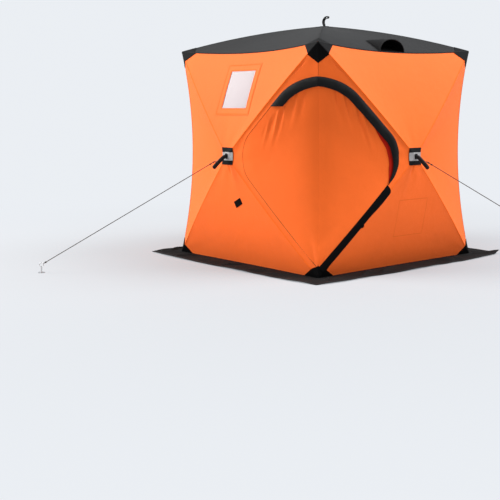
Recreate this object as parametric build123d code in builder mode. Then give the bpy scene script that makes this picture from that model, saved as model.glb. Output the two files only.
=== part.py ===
from build123d import *
import os

# Pop-up ice fishing hut: four walls and a roof of cloth, each stretched over
# four rods that spring from a hub. The origin is the middle of the footprint,
# on the ground. The walls face -Y (front), +X (right), +Y (back), -X (left),
# and the door turns the corner between the front and the right wall.

# Tent body
side = 1792  # from corner to corner of one wall
eave_height = 1777  # height of the four roof corners
peak_height = 2000  # height of the roof's hub point
wall_bulge = 180  # how far a wall's hub point stands outside its corners
wall_bow = 22  # outward bend of a wall rod between hub and corner
roof_bow = 33  # upward bend of a roof rod between hub and corner
corner_curve = 97  # how far an upright corner edge curves in at half height
eave_in = 80  # how far the middle of an eave is pulled in
eave_sag = 42  # how far the middle of an eave hangs below its corners
foot_in = 15  # how far the middle of a wall's foot is pulled in
cloth = 4  # thickness of the wall and roof cloth
loft_shares = (0.35, 0.7, 1)  # where a panel is shaped, from its hub to its edge
block_reach = 250  # how far a cutting block runs to each side of the cloth
hub_hole = 22  # square left open in the cloth at each hub point

# Skirt on the ground
skirt_width = 190
skirt_cloth = 4
skirt_gap = 0.5  # slit between two neighbouring skirt strips

# Door and its zip covers
door_top = 1515  # highest point of the zip
door_margin = 40  # from the rod's seam to the zip
door_round = 255  # zip's radius beside the hub
arch_round = 500  # zip's radius at the top
cover_cloth = 5
cover_width = 76
cover_lap = 8  # how far the upper cover reaches past the zip
cover_start = 1291  # height at which the upper cover begins, on the front wall
cover_end = 672  # height at which it ends, on the right wall
strip_width = 38  # lower cover, outside the zip
strip_lap = 4
strip_cloth = 4
strip_from_boot = 12  # from the boot's tip to the lower cover's end

# Windows, skylight and vent
window_width = 316
window_height = 306
window_x = -25  # from the wall's middle line
window_drop = 347  # from the eave's corners down to the window's middle
window_frame = 58
frame_cloth = 2
film = 2
skylight_width = 320
skylight_depth = 210
skylight_from_eave = 60
vent_width = 290
vent_height = 100
vent_length = 225
vent_back_width = 155
vent_back_height = 14
vent_cloth = 4
vent_sunk = 20  # how far the hood's form runs below the roof before it is trimmed
vent_from_eave = 12
vent_hole_width = 170
vent_hole_depth = 110
vent_hole_inward = 95  # from the hood's mouth to the middle of the hole
vent_shoulders = (0.1, 0.7)  # height of the hood's upright sides, at its mouth and back

# Rods, hubs and corner joints
rod_radius = 4.75
rod_seat = 16.5  # from the outer face of the cloth to the rod's middle line
socket_radius = 7.4
socket_length = 46
socket_floor = 6  # solid end of a socket behind the rod
hub_radius = 36
hub_depth = 24
hub_face = 15  # from the hub point to the hub's outer face
hub_stop = 34  # from the hub's middle line to the rod's end
hub_cover_radius = 22
hub_cover_depth = 7
hub_cover_taper = 18  # degrees
corner_stop = 26  # from the corner point to the rod's end, along X and Z
post_radius = 13  # post in the middle of a corner joint
post_height = 26
foot_post_height = 42
post_inset = 30  # from the corner point to the post, each way
corner_socket = 37  # length of a corner joint's socket
arm_radius = 6
arm_lap = 11  # how far an arm runs into its socket
fit = 0.3  # clearance between pieces that meet
boss_radius = 6
boss_out = 1.2  # how far the hub's boss stands out of its patch

# Patches
hub_patch = 140
apex_patch = 116
patch_cloth = 3
cap_reach = 160  # along the eave from a roof corner
cap_drop = 161  # down the corner edge from a roof corner
cap_cloth = 3
boot_reach = 160
boot_height = 98
boot_cloth = 3
boot_gap = 0.2  # between a boot and the wall
tieback_x = 75
tieback_drop = 375.5  # from the hub down to the patch's middle
tieback_length = 100
tieback_width = 54
tieback_angle = 24
tieback_cloth = 3

# Pull straps, guy ropes and ice anchors
strap_width = 26
strap_thick = 3.5
strap_out = 112  # from the hub point outwards to the rope's ring
strap_down = 40
tail_out = 20  # loose end, from the ring
tail_down = 62
plate_thick = 5
plate_size = 44
plate_corner = 6
ring_radius = 15
ring_wire = 2.5
rope_radius = 2.5
anchor_out = 2300  # from the middle of the hut
anchor_aside = 750  # away from the nearest line through the middle
anchor_eye_height = 62
anchor_shank = 5
anchor_foot = 26
anchor_plate = 4
loop_height = 92
loop_width = 34
loop_wire = 6  # thickness of the loop's cord
loop_base = 9.6  # radius of its base

os.makedirs("parts", exist_ok=True)

half = side / 2
foot_height = skirt_cloth
window_z = eave_height - window_drop
hub_height = (eave_height + foot_height) / 2
tieback_z = hub_height - tieback_drop
wall_reach = (eave_height - foot_height) / 2
corner_in = corner_curve / 2**0.5
start = hub_hole / 2 / half
out = Vector(0, -1, 0)
up = Vector(0, 0, 1)
right = Vector(1, 0, 0)
wall_middle = Vector(0, -half, hub_height)
roof_middle = Vector(0, 0, eave_height)
door_corner = Plane((0, 0, 0), x_dir=(1, -1, 0), z_dir=(1, 1, 0))


def cloth_panel(middle, toward, outward, reach, width, bulge, bow, edge_reach, edge_in, skin, first=start):
    """A triangle of cloth from a hub to one edge of its wall or roof.

    It is lofted through arcs that grow from the hub to the edge. skin gives
    the depths of its outer and inner face under the outer face of the tent.
    """
    along = toward.cross(outward)
    sag = Vector(toward * -edge_reach + outward * -edge_in)
    inward = sag.normalized()
    taper = width / reach * inward.dot(toward)
    near, far = skin
    with BuildPart() as panel:
        for share in (first, *loft_shares):
            depth = bulge * (1 - share) + 4 * bow * share * (1 - share)
            chord = middle + toward * (reach * share) + outward * depth
            x = width * share
            dip = sag.length * share
            with BuildSketch(Plane(chord, x_dir=along, z_dir=along.cross(inward))):
                with BuildLine():
                    ThreePointArc(
                        (-x - taper * near, near), (0, dip + near), (x + taper * near, near)
                    )
                    Line((x + taper * near, near), (x + taper * far, far))
                    ThreePointArc((x + taper * far, far), (0, dip + far), (-x - taper * far, far))
                    Line((-x - taper * far, far), (-x - taper * near, near))
                make_face()
        loft()
    return panel.part


def mitred(panel):
    """A panel of the front wall, cut off where it would reach round a corner."""
    with BuildPart() as piece:
        add(panel)
        split(bisect_by=door_corner, keep=Keep.BOTTOM)
        split(bisect_by=Plane((0, 0, 0), x_dir=(1, 1, 0), z_dir=(-1, 1, 0)), keep=Keep.BOTTOM)
    return piece.part


def wall_top(skin, first=start):
    return mitred(
        cloth_panel(
            wall_middle, up, out, wall_reach, half, wall_bulge, wall_bow, eave_sag, eave_in, skin, first
        )
    )


def wall_foot(skin, first=start):
    return mitred(
        cloth_panel(
            wall_middle, -up, out, wall_reach, half, wall_bulge, wall_bow, 0, foot_in, skin, first
        )
    )


def wall_side(skin, first=start):
    """The panel beside the front wall's right-hand corner."""
    return cloth_panel(
        wall_middle, right, out, half, wall_reach, wall_bulge, wall_bow, corner_in, corner_in, skin, first
    )


def roof_side(skin, first=start):
    """The roof panel above the front wall."""
    return cloth_panel(
        roof_middle, out, up, half, half, peak_height - eave_height, roof_bow, eave_in, eave_sag, skin, first
    )


def door_zone(inset, top_limit=2 * eave_height, low_limit=-100):
    """A block through the front wall with the outline of the door's half on it."""
    slope = wall_reach / half
    lift = (door_margin + inset) * (1 + slope**2) ** 0.5
    top = door_top - inset
    beyond = half + 200
    with BuildPart() as zone:
        with BuildSketch(Plane.XZ.offset(half - block_reach)):
            with BuildLine():
                FilletPolyline(
                    (beyond, top),
                    ((top - hub_height + lift) / slope, top),
                    (lift / slope, hub_height),
                    (beyond, hub_height - slope * beyond + lift),
                    radius=[arch_round - inset, door_round - inset],
                )
                Line((beyond, hub_height - slope * beyond + lift), (beyond, top))
            make_face()
            with Locations((half, (top_limit + low_limit) / 2)):
                Rectangle(side * 2, top_limit - low_limit, mode=Mode.INTERSECT)
        extrude(amount=2 * block_reach)
    return zone.part


# Wall panels. Each is made on the front wall and turned to the others.
plain_skin = (0, cloth)
top_panel = wall_top(plain_skin)
foot_panel = wall_foot(plain_skin)
side_panel = wall_side(plain_skin)
door_block = door_zone(0)

with BuildPart() as window_block:
    with BuildSketch(Plane.XZ.offset(half - block_reach)):
        with Locations((window_x, window_z)):
            Rectangle(window_width, window_height)
    extrude(amount=2 * block_reach)

with BuildPart() as window_top_panel:
    add(top_panel)
    add(window_block.part, mode=Mode.SUBTRACT)

with BuildPart() as door_side_panel:
    add(side_panel)
    add(door_block, mode=Mode.SUBTRACT)

walls = ("front", "right", "back", "left")
for turn, wall in enumerate(walls):
    angle = 90 * turn
    with BuildPart() as top:
        add(window_top_panel.part if wall in ("front", "back") else top_panel, rotation=(0, 0, angle))
    with BuildPart() as foot:
        add(foot_panel, rotation=(0, 0, angle))
    top.part.label = wall + "_wall_top_panel"
    export_step(top.part, "parts/" + top.part.label + ".step")
    foot.part.label = wall + "_wall_foot_panel"
    export_step(foot.part, "parts/" + foot.part.label + ".step")

    # Seen from outside, each wall has a panel at its right and at its left.
    with BuildPart() as right_hand:
        add(door_side_panel.part if wall == "front" else side_panel, rotation=(0, 0, angle))
    right_hand.part.label = wall + "_wall_right_panel"
    export_step(right_hand.part, "parts/" + right_hand.part.label + ".step")
    with BuildPart() as left_hand:
        if wall == "right":
            mirror(door_side_panel.part, about=door_corner)
        else:
            with Locations(Location((0, 0, 0), (0, 0, angle))):
                add(mirror(side_panel, about=Plane.YZ, mode=Mode.PRIVATE))
    left_hand.part.label = wall + "_wall_left_panel"
    export_step(left_hand.part, "parts/" + left_hand.part.label + ".step")

# Door: the cloth inside the zip, one piece round the corner
with BuildPart() as door:
    add(side_panel)
    add(door_block, mode=Mode.INTERSECT)
    mirror(about=door_corner)
door.part.label = "door_panel"
export_step(door.part, "parts/door_panel.step")

# Upper zip cover: from the front wall over the top and down the right wall
cover_skin = wall_side((-cover_cloth, 0))
cover_inside = door_zone(cover_width - cover_lap)
with BuildPart() as front_cover:
    add(cover_skin)
    add(door_zone(-cover_lap, low_limit=cover_start), mode=Mode.INTERSECT)
    add(cover_inside, mode=Mode.SUBTRACT)
with BuildPart() as right_cover:
    add(cover_skin)
    add(door_zone(-cover_lap, low_limit=cover_end), mode=Mode.INTERSECT)
    add(cover_inside, mode=Mode.SUBTRACT)
with BuildPart() as upper_cover:
    add(front_cover.part)
    mirror(right_cover.part, about=door_corner)
upper_cover.part.label = "upper_zip_cover"
export_step(upper_cover.part, "parts/upper_zip_cover.step")

# Lower zip cover: down the right wall, outside the zip, to the corner
with BuildPart() as lower_half:
    add(wall_side((-strip_cloth, 0)))
    add(door_zone(strip_lap - strip_width, top_limit=cover_end - fit), mode=Mode.INTERSECT)
    add(door_zone(strip_lap), mode=Mode.SUBTRACT)
    split(bisect_by=Plane.XY.offset(boot_height + strip_from_boot), keep=Keep.TOP)
with BuildPart() as lower_cover:
    mirror(lower_half.part, about=door_corner)
lower_cover.part.label = "lower_zip_cover"
export_step(lower_cover.part, "parts/lower_zip_cover.step")

# Windows: clear film in the openings, and a sewn frame round each
with BuildPart() as front_pane:
    add(wall_top((cloth / 2 - film / 2, cloth / 2 + film / 2)))
    add(window_block.part, mode=Mode.INTERSECT)
with BuildPart() as frame_block:
    with BuildSketch(Plane.XZ.offset(half - block_reach)):
        with Locations((window_x, window_z)):
            Rectangle(window_width + 2 * window_frame, window_height + 2 * window_frame)
            Rectangle(window_width, window_height, mode=Mode.SUBTRACT)
    extrude(amount=2 * block_reach)
with BuildPart() as front_frame:
    add(wall_top((-frame_cloth, 0)))
    add(frame_block.part, mode=Mode.INTERSECT)
with BuildPart() as panes:
    for angle in (0, 180):
        add(front_pane.part, rotation=(0, 0, angle))
panes.part.label = "window_panes"
export_step(panes.part, "parts/window_panes.step")
with BuildPart() as frames:
    for angle in (0, 180):
        add(front_frame.part, rotation=(0, 0, angle))
frames.part.label = "window_frames"
export_step(frames.part, "parts/window_frames.step")

# Roof: a plain panel in front and at the left, the vent hole at the right,
# the skylight at the back
roof_panel = roof_side(plain_skin)
eave_middle = half - eave_in
skylight_middle = eave_middle - skylight_from_eave - skylight_depth / 2
vent_mouth = eave_middle - vent_from_eave
vent_hole_middle = vent_mouth - vent_hole_inward
with BuildPart() as skylight_block:
    with BuildSketch(Plane.XY.offset(eave_height - block_reach)):
        with Locations((0, -skylight_middle)):
            Rectangle(skylight_width, skylight_depth)
    extrude(amount=2 * block_reach)
with BuildPart() as vent_block:
    with BuildSketch(Plane.XY.offset(eave_height - block_reach)):
        with Locations((0, -vent_hole_middle)):
            Rectangle(vent_hole_width, vent_hole_depth)
    extrude(amount=2 * block_reach)
for turn, wall in enumerate(walls):
    with BuildPart() as panel:
        add(roof_panel)
        if wall == "right":
            add(vent_block.part, mode=Mode.SUBTRACT)
        if wall == "back":
            add(skylight_block.part, mode=Mode.SUBTRACT)
    with BuildPart() as turned:
        add(panel.part, rotation=(0, 0, 90 * turn))
    turned.part.label = wall + "_roof_panel"
    export_step(turned.part, "parts/" + turned.part.label + ".step")

with BuildPart() as skylight_pane:
    add(roof_side((cloth / 2 - film / 2, cloth / 2 + film / 2)))
    add(skylight_block.part, mode=Mode.INTERSECT)
with BuildPart() as skylight:
    add(skylight_pane.part, rotation=(0, 0, 180))
skylight.part.label = "skylight"
export_step(skylight.part, "parts/skylight.step")


# Vent hood: a half-round mouth at the eave that tapers to a flat back
def roof_surface(reach):
    """Height of the roof's outer face on the middle line of a panel."""
    share = reach / eave_middle
    ridge = (peak_height - eave_height) * (1 - share) + 4 * roof_bow * share * (1 - share)
    return eave_height + ridge - eave_sag * share


def vent_form(shrink):
    """The hood's outside, or its hollow when shrink is its cloth."""
    vent_back = vent_mouth - vent_length
    with BuildPart() as form:
        for reach, width, height, wall in (
            (vent_mouth + shrink, vent_width, vent_height, vent_shoulders[0]),
            (vent_back + shrink, vent_back_width, vent_back_height, vent_shoulders[1]),
        ):
            w = width / 2 - shrink
            base = roof_surface(reach)
            top = base + height - shrink
            shoulder = base + (height - shrink) * wall
            floor = base - vent_sunk
            with BuildSketch(Plane((0, -reach, 0), x_dir=(1, 0, 0), z_dir=(0, -1, 0))):
                with BuildLine():
                    ThreePointArc((-w, shoulder), (0, top), (w, shoulder))
                    Polyline((w, shoulder), (w, floor), (-w, floor), (-w, shoulder))
                make_face()
        loft(ruled=True)
    return form.part


with BuildPart() as front_hood:
    add(vent_form(0))
    add(vent_form(vent_cloth), mode=Mode.SUBTRACT)
    add(roof_side((0, 3 * vent_sunk), 0.3), mode=Mode.SUBTRACT)
with BuildPart() as hood:
    add(front_hood.part.solids().sort_by(SortBy.VOLUME)[-1], rotation=(0, 0, 90))
hood.part.label = "roof_vent_hood"
export_step(hood.part, "parts/roof_vent_hood.step")


# Rods: one bent rod under each seam
def rod_line(middle, toward, outward, aside, reach, width, bulge, bow, first, last):
    """Three points on a rod's middle line: near the hub, half way, near the corner."""
    points = []
    for share in (first, (first + last) / 2, last):
        depth = bulge * (1 - share) + 4 * bow * share * (1 - share) - rod_seat
        points.append(middle + toward * (reach * share) + aside * (width * share) + outward * depth)
    return points


def rod(points):
    with BuildPart() as piece:
        with BuildLine() as path:
            ThreePointArc(*points)
        with BuildSketch(Plane(path.line @ 0, z_dir=path.line % 0)):
            Circle(rod_radius)
        sweep()
    return piece.part


first_share = hub_stop / 2**0.5 / half
last_share = 1 - corner_stop / half
wall_rods = {}
for name, toward in (("top", up), ("foot", -up)):
    for hand, aside in (("right", right), ("left", -right)):
        wall_rods[name, hand] = rod_line(
            wall_middle, toward, out, aside, wall_reach, half, wall_bulge, wall_bow, first_share, last_share
        )
roof_rod = rod_line(
    roof_middle, out, up, right, half, half, peak_height - eave_height, roof_bow, first_share, last_share
)
with BuildPart() as front_rods:
    for points in wall_rods.values():
        add(rod(points))
for turn, wall in enumerate(walls):
    with BuildPart() as rods:
        add(front_rods.part, rotation=(0, 0, 90 * turn))
    rods.part.label = wall + "_wall_rods"
    export_step(rods.part, "parts/" + rods.part.label + ".step")
with BuildPart() as corner_roof_rod:
    add(rod(roof_rod))
with BuildPart() as roof_rods:
    for angle in (0, 90, 180, 270):
        add(corner_roof_rod.part, rotation=(0, 0, angle))
roof_rods.part.label = "roof_rods"
export_step(roof_rods.part, "parts/roof_rods.step")


# Hubs: a round body with four sockets, a boss through the cloth and a back cover
def end_direction(end, middle_point, far_end):
    """The direction in which a bent rod leaves one of its ends."""
    chord = (far_end - end).normalized()
    half_chord = (middle_point - end).normalized()
    return half_chord * (2 * chord.dot(half_chord)) - chord


def socket(end, axis, length):
    """The outside of a socket round a rod's end."""
    with BuildPart() as tube:
        with BuildSketch(Plane(end - axis * socket_floor, z_dir=axis)):
            Circle(socket_radius)
        extrude(amount=length)
    return tube.part


def bore(end, axis, length):
    """The hollow of a socket, with the rod's fit."""
    with BuildPart() as hollow:
        with BuildSketch(Plane(end - axis * fit, z_dir=axis)):
            Circle(rod_radius + fit)
        extrude(amount=length)
    return hollow.part


def hub(middle, outward, lines, bulge):
    """A hub at a hub point, with a socket for each of the lines."""
    face = middle + outward * (bulge - hub_face)
    with BuildPart() as body:
        with BuildSketch(Plane(face, z_dir=-outward)):
            Circle(hub_radius)
        extrude(amount=hub_depth)
        with BuildSketch(Plane(face - outward * hub_depth, z_dir=-outward)):
            Circle(hub_cover_radius)
        extrude(amount=hub_cover_depth, taper=hub_cover_taper)
        with BuildSketch(Plane(face, z_dir=outward)):
            Circle(boss_radius)
        extrude(amount=hub_face + patch_cloth + boss_out)
        for points in lines:
            add(socket(points[0], end_direction(*points), socket_length))
        for points in lines:
            add(bore(points[0], end_direction(*points), socket_length), mode=Mode.SUBTRACT)
    return body.part


with BuildPart() as front_hub:
    add(hub(wall_middle, out, wall_rods.values(), wall_bulge))
with BuildPart() as wall_hubs:
    for angle in (0, 90, 180, 270):
        add(front_hub.part, rotation=(0, 0, angle))
wall_hubs.part.label = "wall_hubs"
export_step(wall_hubs.part, "parts/wall_hubs.step")

roof_lines = []
for angle in (0, 90, 180, 270):
    roof_lines.append([point.rotate(Axis.Z, angle) for point in roof_rod])
with BuildPart() as roof_hub:
    add(hub(roof_middle, up, roof_lines, peak_height - eave_height))
roof_hub.part.label = "roof_hub"
export_step(roof_hub.part, "parts/roof_hub.step")


# Corner joints: a post with an arm and a socket for each rod that ends there
def corner_joint(bottom, top, lines):
    """bottom and top are the ends of the joint's post."""
    middle = (bottom + top) / 2
    with BuildPart() as body:
        with BuildSketch(Plane(bottom)):
            Circle(post_radius)
        extrude(amount=(top - bottom).length)
        for points in lines:
            axis = end_direction(*reversed(points))
            reach = points[2] + axis * arm_lap - middle
            with BuildSketch(Plane(middle, z_dir=reach)):
                Circle(arm_radius)
            extrude(amount=reach.length)
            add(socket(points[2], axis, corner_socket))
        for points in lines:
            add(bore(points[2], end_direction(*reversed(points)), socket_length), mode=Mode.SUBTRACT)
    return body.part


def swapped(points):
    """The same line on the right wall, mirrored about the door's corner."""
    return [Vector(-point.Y, -point.X, point.Z) for point in points]


post = Vector(half - post_inset, post_inset - half, 0)
top_post = post + up * (eave_height - post_inset)
top_line = wall_rods["top", "right"]
foot_line = wall_rods["foot", "right"]
with BuildPart() as top_joint:
    add(corner_joint(top_post - up * post_height, top_post, [top_line, swapped(top_line), roof_rod]))
with BuildPart() as foot_joint:
    add(corner_joint(post, post + up * foot_post_height, [foot_line, swapped(foot_line)]))
for name, joint in (("top_corner_joints", top_joint), ("foot_corner_joints", foot_joint)):
    with BuildPart() as joints:
        for angle in (0, 90, 180, 270):
            add(joint.part, rotation=(0, 0, angle))
    joints.part.label = name
    export_step(joints.part, "parts/" + name + ".step")

# Caps over the roof corners and boots at the feet, on the outside of the cloth
def corner_slope(tip, reach):
    """A slanted plane over a corner, through its tip and through two points on its edges."""
    across = Vector(1, 1, 0)
    edge = Vector(half - reach, -half, eave_height if tip.Z > hub_height else foot_height)
    normal = (edge - tip).cross(across)
    if normal.dot(right) < 0:
        normal = -normal
    return Plane(tip, x_dir=across, z_dir=normal)


def beyond_slope(skin, slope):
    """The part of a skin that lies between a slanted plane and the corner."""
    with BuildPart() as piece:
        add(skin)
        split(bisect_by=slope, keep=Keep.TOP)
        split(bisect_by=Plane.YZ, keep=Keep.TOP)
    return piece.part


cap_tip = Vector(half, -half, eave_height - cap_drop)
boot_tip = Vector(half, -half, foot_height + boot_height)
cap_skin = (-cap_cloth, 0)
boot_skin = (-boot_gap - boot_cloth, -boot_gap)
cap_skins = (wall_top(cap_skin), wall_side(cap_skin), roof_side(cap_skin))
boot_skins = (wall_foot(boot_skin), wall_side(boot_skin))
for name, skins, tip, reach in (
    ("top_corner_caps", cap_skins, cap_tip, cap_reach),
    ("foot_corner_boots", boot_skins, boot_tip, boot_reach),
):
    slope = corner_slope(tip, reach)
    with BuildPart() as cover:
        for skin in skins:
            add(beyond_slope(skin, slope))
        split(bisect_by=Plane.XY.offset(foot_height), keep=Keep.TOP)
        mirror(about=door_corner)
    with BuildPart() as covers:
        for angle in (0, 90, 180, 270):
            add(cover.part, rotation=(0, 0, angle))
    covers.part.label = name
    export_step(covers.part, "parts/" + name + ".step")


# Patches over the hub points
def inside_block(skin, block):
    with BuildPart() as piece:
        add(skin)
        add(block, mode=Mode.INTERSECT)
    return piece.part


patch_skin = (-patch_cloth, 0)
with BuildPart() as hub_block:
    with BuildSketch(Plane.XZ.offset(half)):
        with Locations((0, hub_height)):
            Rectangle(hub_patch, hub_patch)
            Circle(boss_radius + fit, mode=Mode.SUBTRACT)
    extrude(amount=2 * wall_bulge)
side_quarter = inside_block(wall_side(patch_skin), hub_block.part)
with BuildPart() as front_patch:
    add(side_quarter)
    mirror(about=Plane.YZ)
    add(inside_block(wall_top(patch_skin), hub_block.part))
    add(inside_block(wall_foot(patch_skin), hub_block.part))
with BuildPart() as patches:
    for angle in (0, 90, 180, 270):
        add(front_patch.part, rotation=(0, 0, angle))
patches.part.label = "hub_patches"
export_step(patches.part, "parts/hub_patches.step")

with BuildPart() as apex_block:
    with BuildSketch(Plane.XY.offset(eave_height)):
        Rectangle(apex_patch, apex_patch)
        Circle(boss_radius + fit, mode=Mode.SUBTRACT)
    extrude(amount=2 * (peak_height - eave_height))
roof_quarter = inside_block(roof_side(patch_skin), apex_block.part)
with BuildPart() as roof_patch:
    for angle in (0, 90, 180, 270):
        add(roof_quarter, rotation=(0, 0, angle))
roof_patch.part.label = "apex_patch"
export_step(roof_patch.part, "parts/apex_patch.step")

# Pull loop on the roof's hub
peak = Vector(0, 0, peak_height + patch_cloth + boss_out)
with BuildPart() as loop:
    with BuildSketch(Plane(peak, z_dir=up)):
        Circle(loop_base)
    extrude(amount=plate_thick)
    with BuildLine() as loop_path:
        foot_left = peak + Vector(-loop_wire, 0, plate_thick - 1)
        foot_right = peak + Vector(loop_wire, 0, plate_thick - 1)
        Spline(
            foot_left,
            peak + Vector(-loop_width / 2, 0, loop_height * 0.5),
            peak + Vector(0, 0, loop_height - loop_wire / 2),
            peak + Vector(loop_width / 2, 0, loop_height * 0.5),
            foot_right,
        )
    with BuildSketch(Plane(loop_path.line @ 0, z_dir=loop_path.line % 0)):
        Circle(loop_wire / 2)
    sweep()
loop.part.label = "pull_loop"
export_step(loop.part, "parts/pull_loop.step")

# Pull straps: a plate on the hub's boss, a ring for the rope and a loose tail
strap_root = wall_middle + out * (wall_bulge + patch_cloth + boss_out)
ring_point = wall_middle + out * (wall_bulge + strap_out) - up * strap_down
tail_point = ring_point + out * tail_out - up * tail_down
with BuildPart() as front_strap:
    with BuildSketch(Plane(strap_root, x_dir=(1, 0, 0), z_dir=out)):
        RectangleRounded(plate_size, plate_size, plate_corner)
    extrude(amount=plate_thick)
    with BuildSketch(Plane.YZ):
        with BuildLine():
            Polyline(
                (strap_root.Y - plate_thick, strap_root.Z + strap_thick),
                (ring_point.Y, ring_point.Z + strap_thick / 2),
                (tail_point.Y, tail_point.Z),
                (tail_point.Y + strap_thick, tail_point.Z),
                (ring_point.Y + strap_thick, ring_point.Z - strap_thick / 2),
                (strap_root.Y - plate_thick, strap_root.Z - strap_thick),
                close=True,
            )
        make_face()
    extrude(amount=strap_width / 2, both=True)
with BuildPart() as straps:
    for angle in (0, 90, 180, 270):
        add(front_strap.part, rotation=(0, 0, angle))
straps.part.label = "pull_straps"
export_step(straps.part, "parts/pull_straps.step")

# Guy ropes and ice anchors, two on each side of the door's diagonal
anchor_points = []
rope_starts = []
for turn, hand in ((0, -1), (1, 1), (2, 1), (3, -1)):
    angle = 90 * turn
    rope_starts.append(Vector(0, ring_point.Y - strap_thick, ring_point.Z).rotate(Axis.Z, angle))
    anchor_points.append(Vector(hand * anchor_aside, -anchor_out, anchor_eye_height).rotate(Axis.Z, angle))
with BuildPart() as ropes:
    for begin, end in zip(rope_starts, anchor_points):
        line = end - begin
        tip = begin + line.normalized() * (line.length - ring_radius - ring_wire - fit)
        with BuildSketch(Plane(begin, z_dir=line)):
            Circle(rope_radius)
        extrude(amount=(tip - begin).length)
ropes.part.label = "guy_ropes"
export_step(ropes.part, "parts/guy_ropes.step")

with BuildPart() as anchors:
    for begin, end in zip(rope_starts, anchor_points):
        flat = Vector(begin.X - end.X, begin.Y - end.Y, 0).normalized()
        with BuildSketch(Plane((end.X, end.Y, 0))):
            Circle(anchor_foot)
        extrude(amount=anchor_plate)
        with BuildSketch(Plane((end.X, end.Y, anchor_plate))):
            Circle(anchor_shank)
        extrude(amount=anchor_eye_height - ring_radius - anchor_plate + 1)
        with Locations(Plane(end, x_dir=flat, z_dir=flat.cross(up))):
            Torus(ring_radius, ring_wire)
anchors.part.label = "ice_anchors"
export_step(anchors.part, "parts/ice_anchors.step")

# Tie-back patch for the rolled door, on the front wall
with BuildPart() as tieback:
    add(wall_foot((-tieback_cloth, 0)))
    with BuildSketch(Plane.XZ.offset(half - block_reach)):
        with Locations(Location((tieback_x, tieback_z), tieback_angle)):
            Rectangle(tieback_length, tieback_width)
    extrude(amount=2 * block_reach, mode=Mode.INTERSECT)
tieback.part.label = "door_tieback_patch"
export_step(tieback.part, "parts/door_tieback_patch.step")

# Skirt: four mitred strips on the ground, under the feet of the walls
with BuildPart() as skirt_strip:
    with BuildSketch(Plane.XY):
        edge = half + skirt_width
        slit = skirt_gap / 2**0.5
        inner = half - 3 * cloth
        with BuildLine():
            Polyline(
                (-inner + slit, -inner),
                (-edge + slit, -edge),
                (edge - slit, -edge),
                (inner - slit, -inner),
            )
            ThreePointArc((inner - slit, -inner), (0, foot_in - inner), (-inner + slit, -inner))
        make_face()
    extrude(amount=skirt_cloth)
with BuildPart() as skirt:
    for angle in (0, 90, 180, 270):
        add(skirt_strip.part, rotation=(0, 0, angle))
skirt.part.label = "ground_skirt"
export_step(skirt.part, "parts/ground_skirt.step")
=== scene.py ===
import math

import bmesh
import bpy
from bpy.props import FloatProperty, FloatVectorProperty, PointerProperty
from mathutils import Matrix, Vector, noise


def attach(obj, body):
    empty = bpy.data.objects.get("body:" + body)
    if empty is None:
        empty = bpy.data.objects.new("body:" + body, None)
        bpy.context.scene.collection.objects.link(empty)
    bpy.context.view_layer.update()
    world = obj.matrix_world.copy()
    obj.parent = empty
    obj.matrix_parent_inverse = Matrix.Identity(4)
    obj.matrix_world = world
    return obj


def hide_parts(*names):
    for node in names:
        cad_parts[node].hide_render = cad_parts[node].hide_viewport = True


bl_info = {
    "name": "Pop-up Ice Fishing Hut",
    "version": (1, 0, 0),
    "blender": (4, 5, 0),
    "location": "View3D > Sidebar > Hut",
    "description": "Builds the cloth, trim, lines and fittings of a pop-up ice fishing hut round its frame",
    "category": "Object",
}

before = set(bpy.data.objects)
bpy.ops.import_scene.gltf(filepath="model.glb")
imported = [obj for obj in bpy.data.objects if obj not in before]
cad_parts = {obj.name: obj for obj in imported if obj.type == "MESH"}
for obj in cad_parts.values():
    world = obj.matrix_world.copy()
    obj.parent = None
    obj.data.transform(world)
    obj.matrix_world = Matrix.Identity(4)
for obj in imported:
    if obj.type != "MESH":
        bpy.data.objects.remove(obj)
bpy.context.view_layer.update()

UP, OUT, RIGHT = Vector((0, 0, 1)), Vector((0, -1, 0)), Vector((1, 0, 0))
DIAGONAL = Vector((1, -1, 0)).normalized()
WALLS = ("front", "right", "back", "left")
DOOR_SIDES = (("front", "right"), ("right", "left"))
QUADRANTS = ((-1, -1), (-1, 1), (1, -1), (1, 1))
ROOT2 = math.sqrt(2)

PANEL_CELLS = (84, 60)
FLAP_CELLS = (24, 16)
SLOPE_STEP = 0.004
FILM_THICK = 0.0012
TAPE_THICK = 0.001
PATCH_THICK = 0.0022


# ---------------------------------------------------------------- sizes and colours


def length(name, default, text):
    return FloatProperty(name=name, description=text, default=default, min=0, unit="LENGTH", precision=4)


def colour(name, default, text):
    return FloatVectorProperty(
        name=name, description=text, default=(*default, 1), size=4, min=0, max=1, subtype="COLOR"
    )


class HutBody(bpy.types.PropertyGroup):
    side: length("Side", 1.792, "From corner to corner of one wall")
    eave_height: length("Eave height", 1.777, "Height of the four roof corners")
    peak_height: length("Peak height", 2.0, "Height of the roof's hub point")
    foot_height: length("Foot height", 0.004, "Where the walls stand on the skirt")
    wall_bulge: length("Wall bulge", 0.18, "How far a wall's hub point stands outside its corners")
    wall_bow: length("Wall bow", 0.022, "Outward bend of a wall rod between hub and corner")
    roof_bow: length("Roof bow", 0.033, "Upward bend of a roof rod between hub and corner")
    corner_curve: length("Corner curve", 0.097, "How far an upright corner edge curves in at half height")
    eave_in: length("Eave in", 0.08, "How far the middle of an eave is pulled in")
    eave_sag: length("Eave sag", 0.042, "How far the middle of an eave hangs below its corners")
    foot_in: length("Foot in", 0.015, "How far the middle of a wall's foot is pulled in")
    hub_hole: length("Hub hole", 0.022, "Square left open in the cloth at each hub point")
    cloth: length("Cloth", 0.002, "Thickness of the wall and roof cloth")


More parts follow.
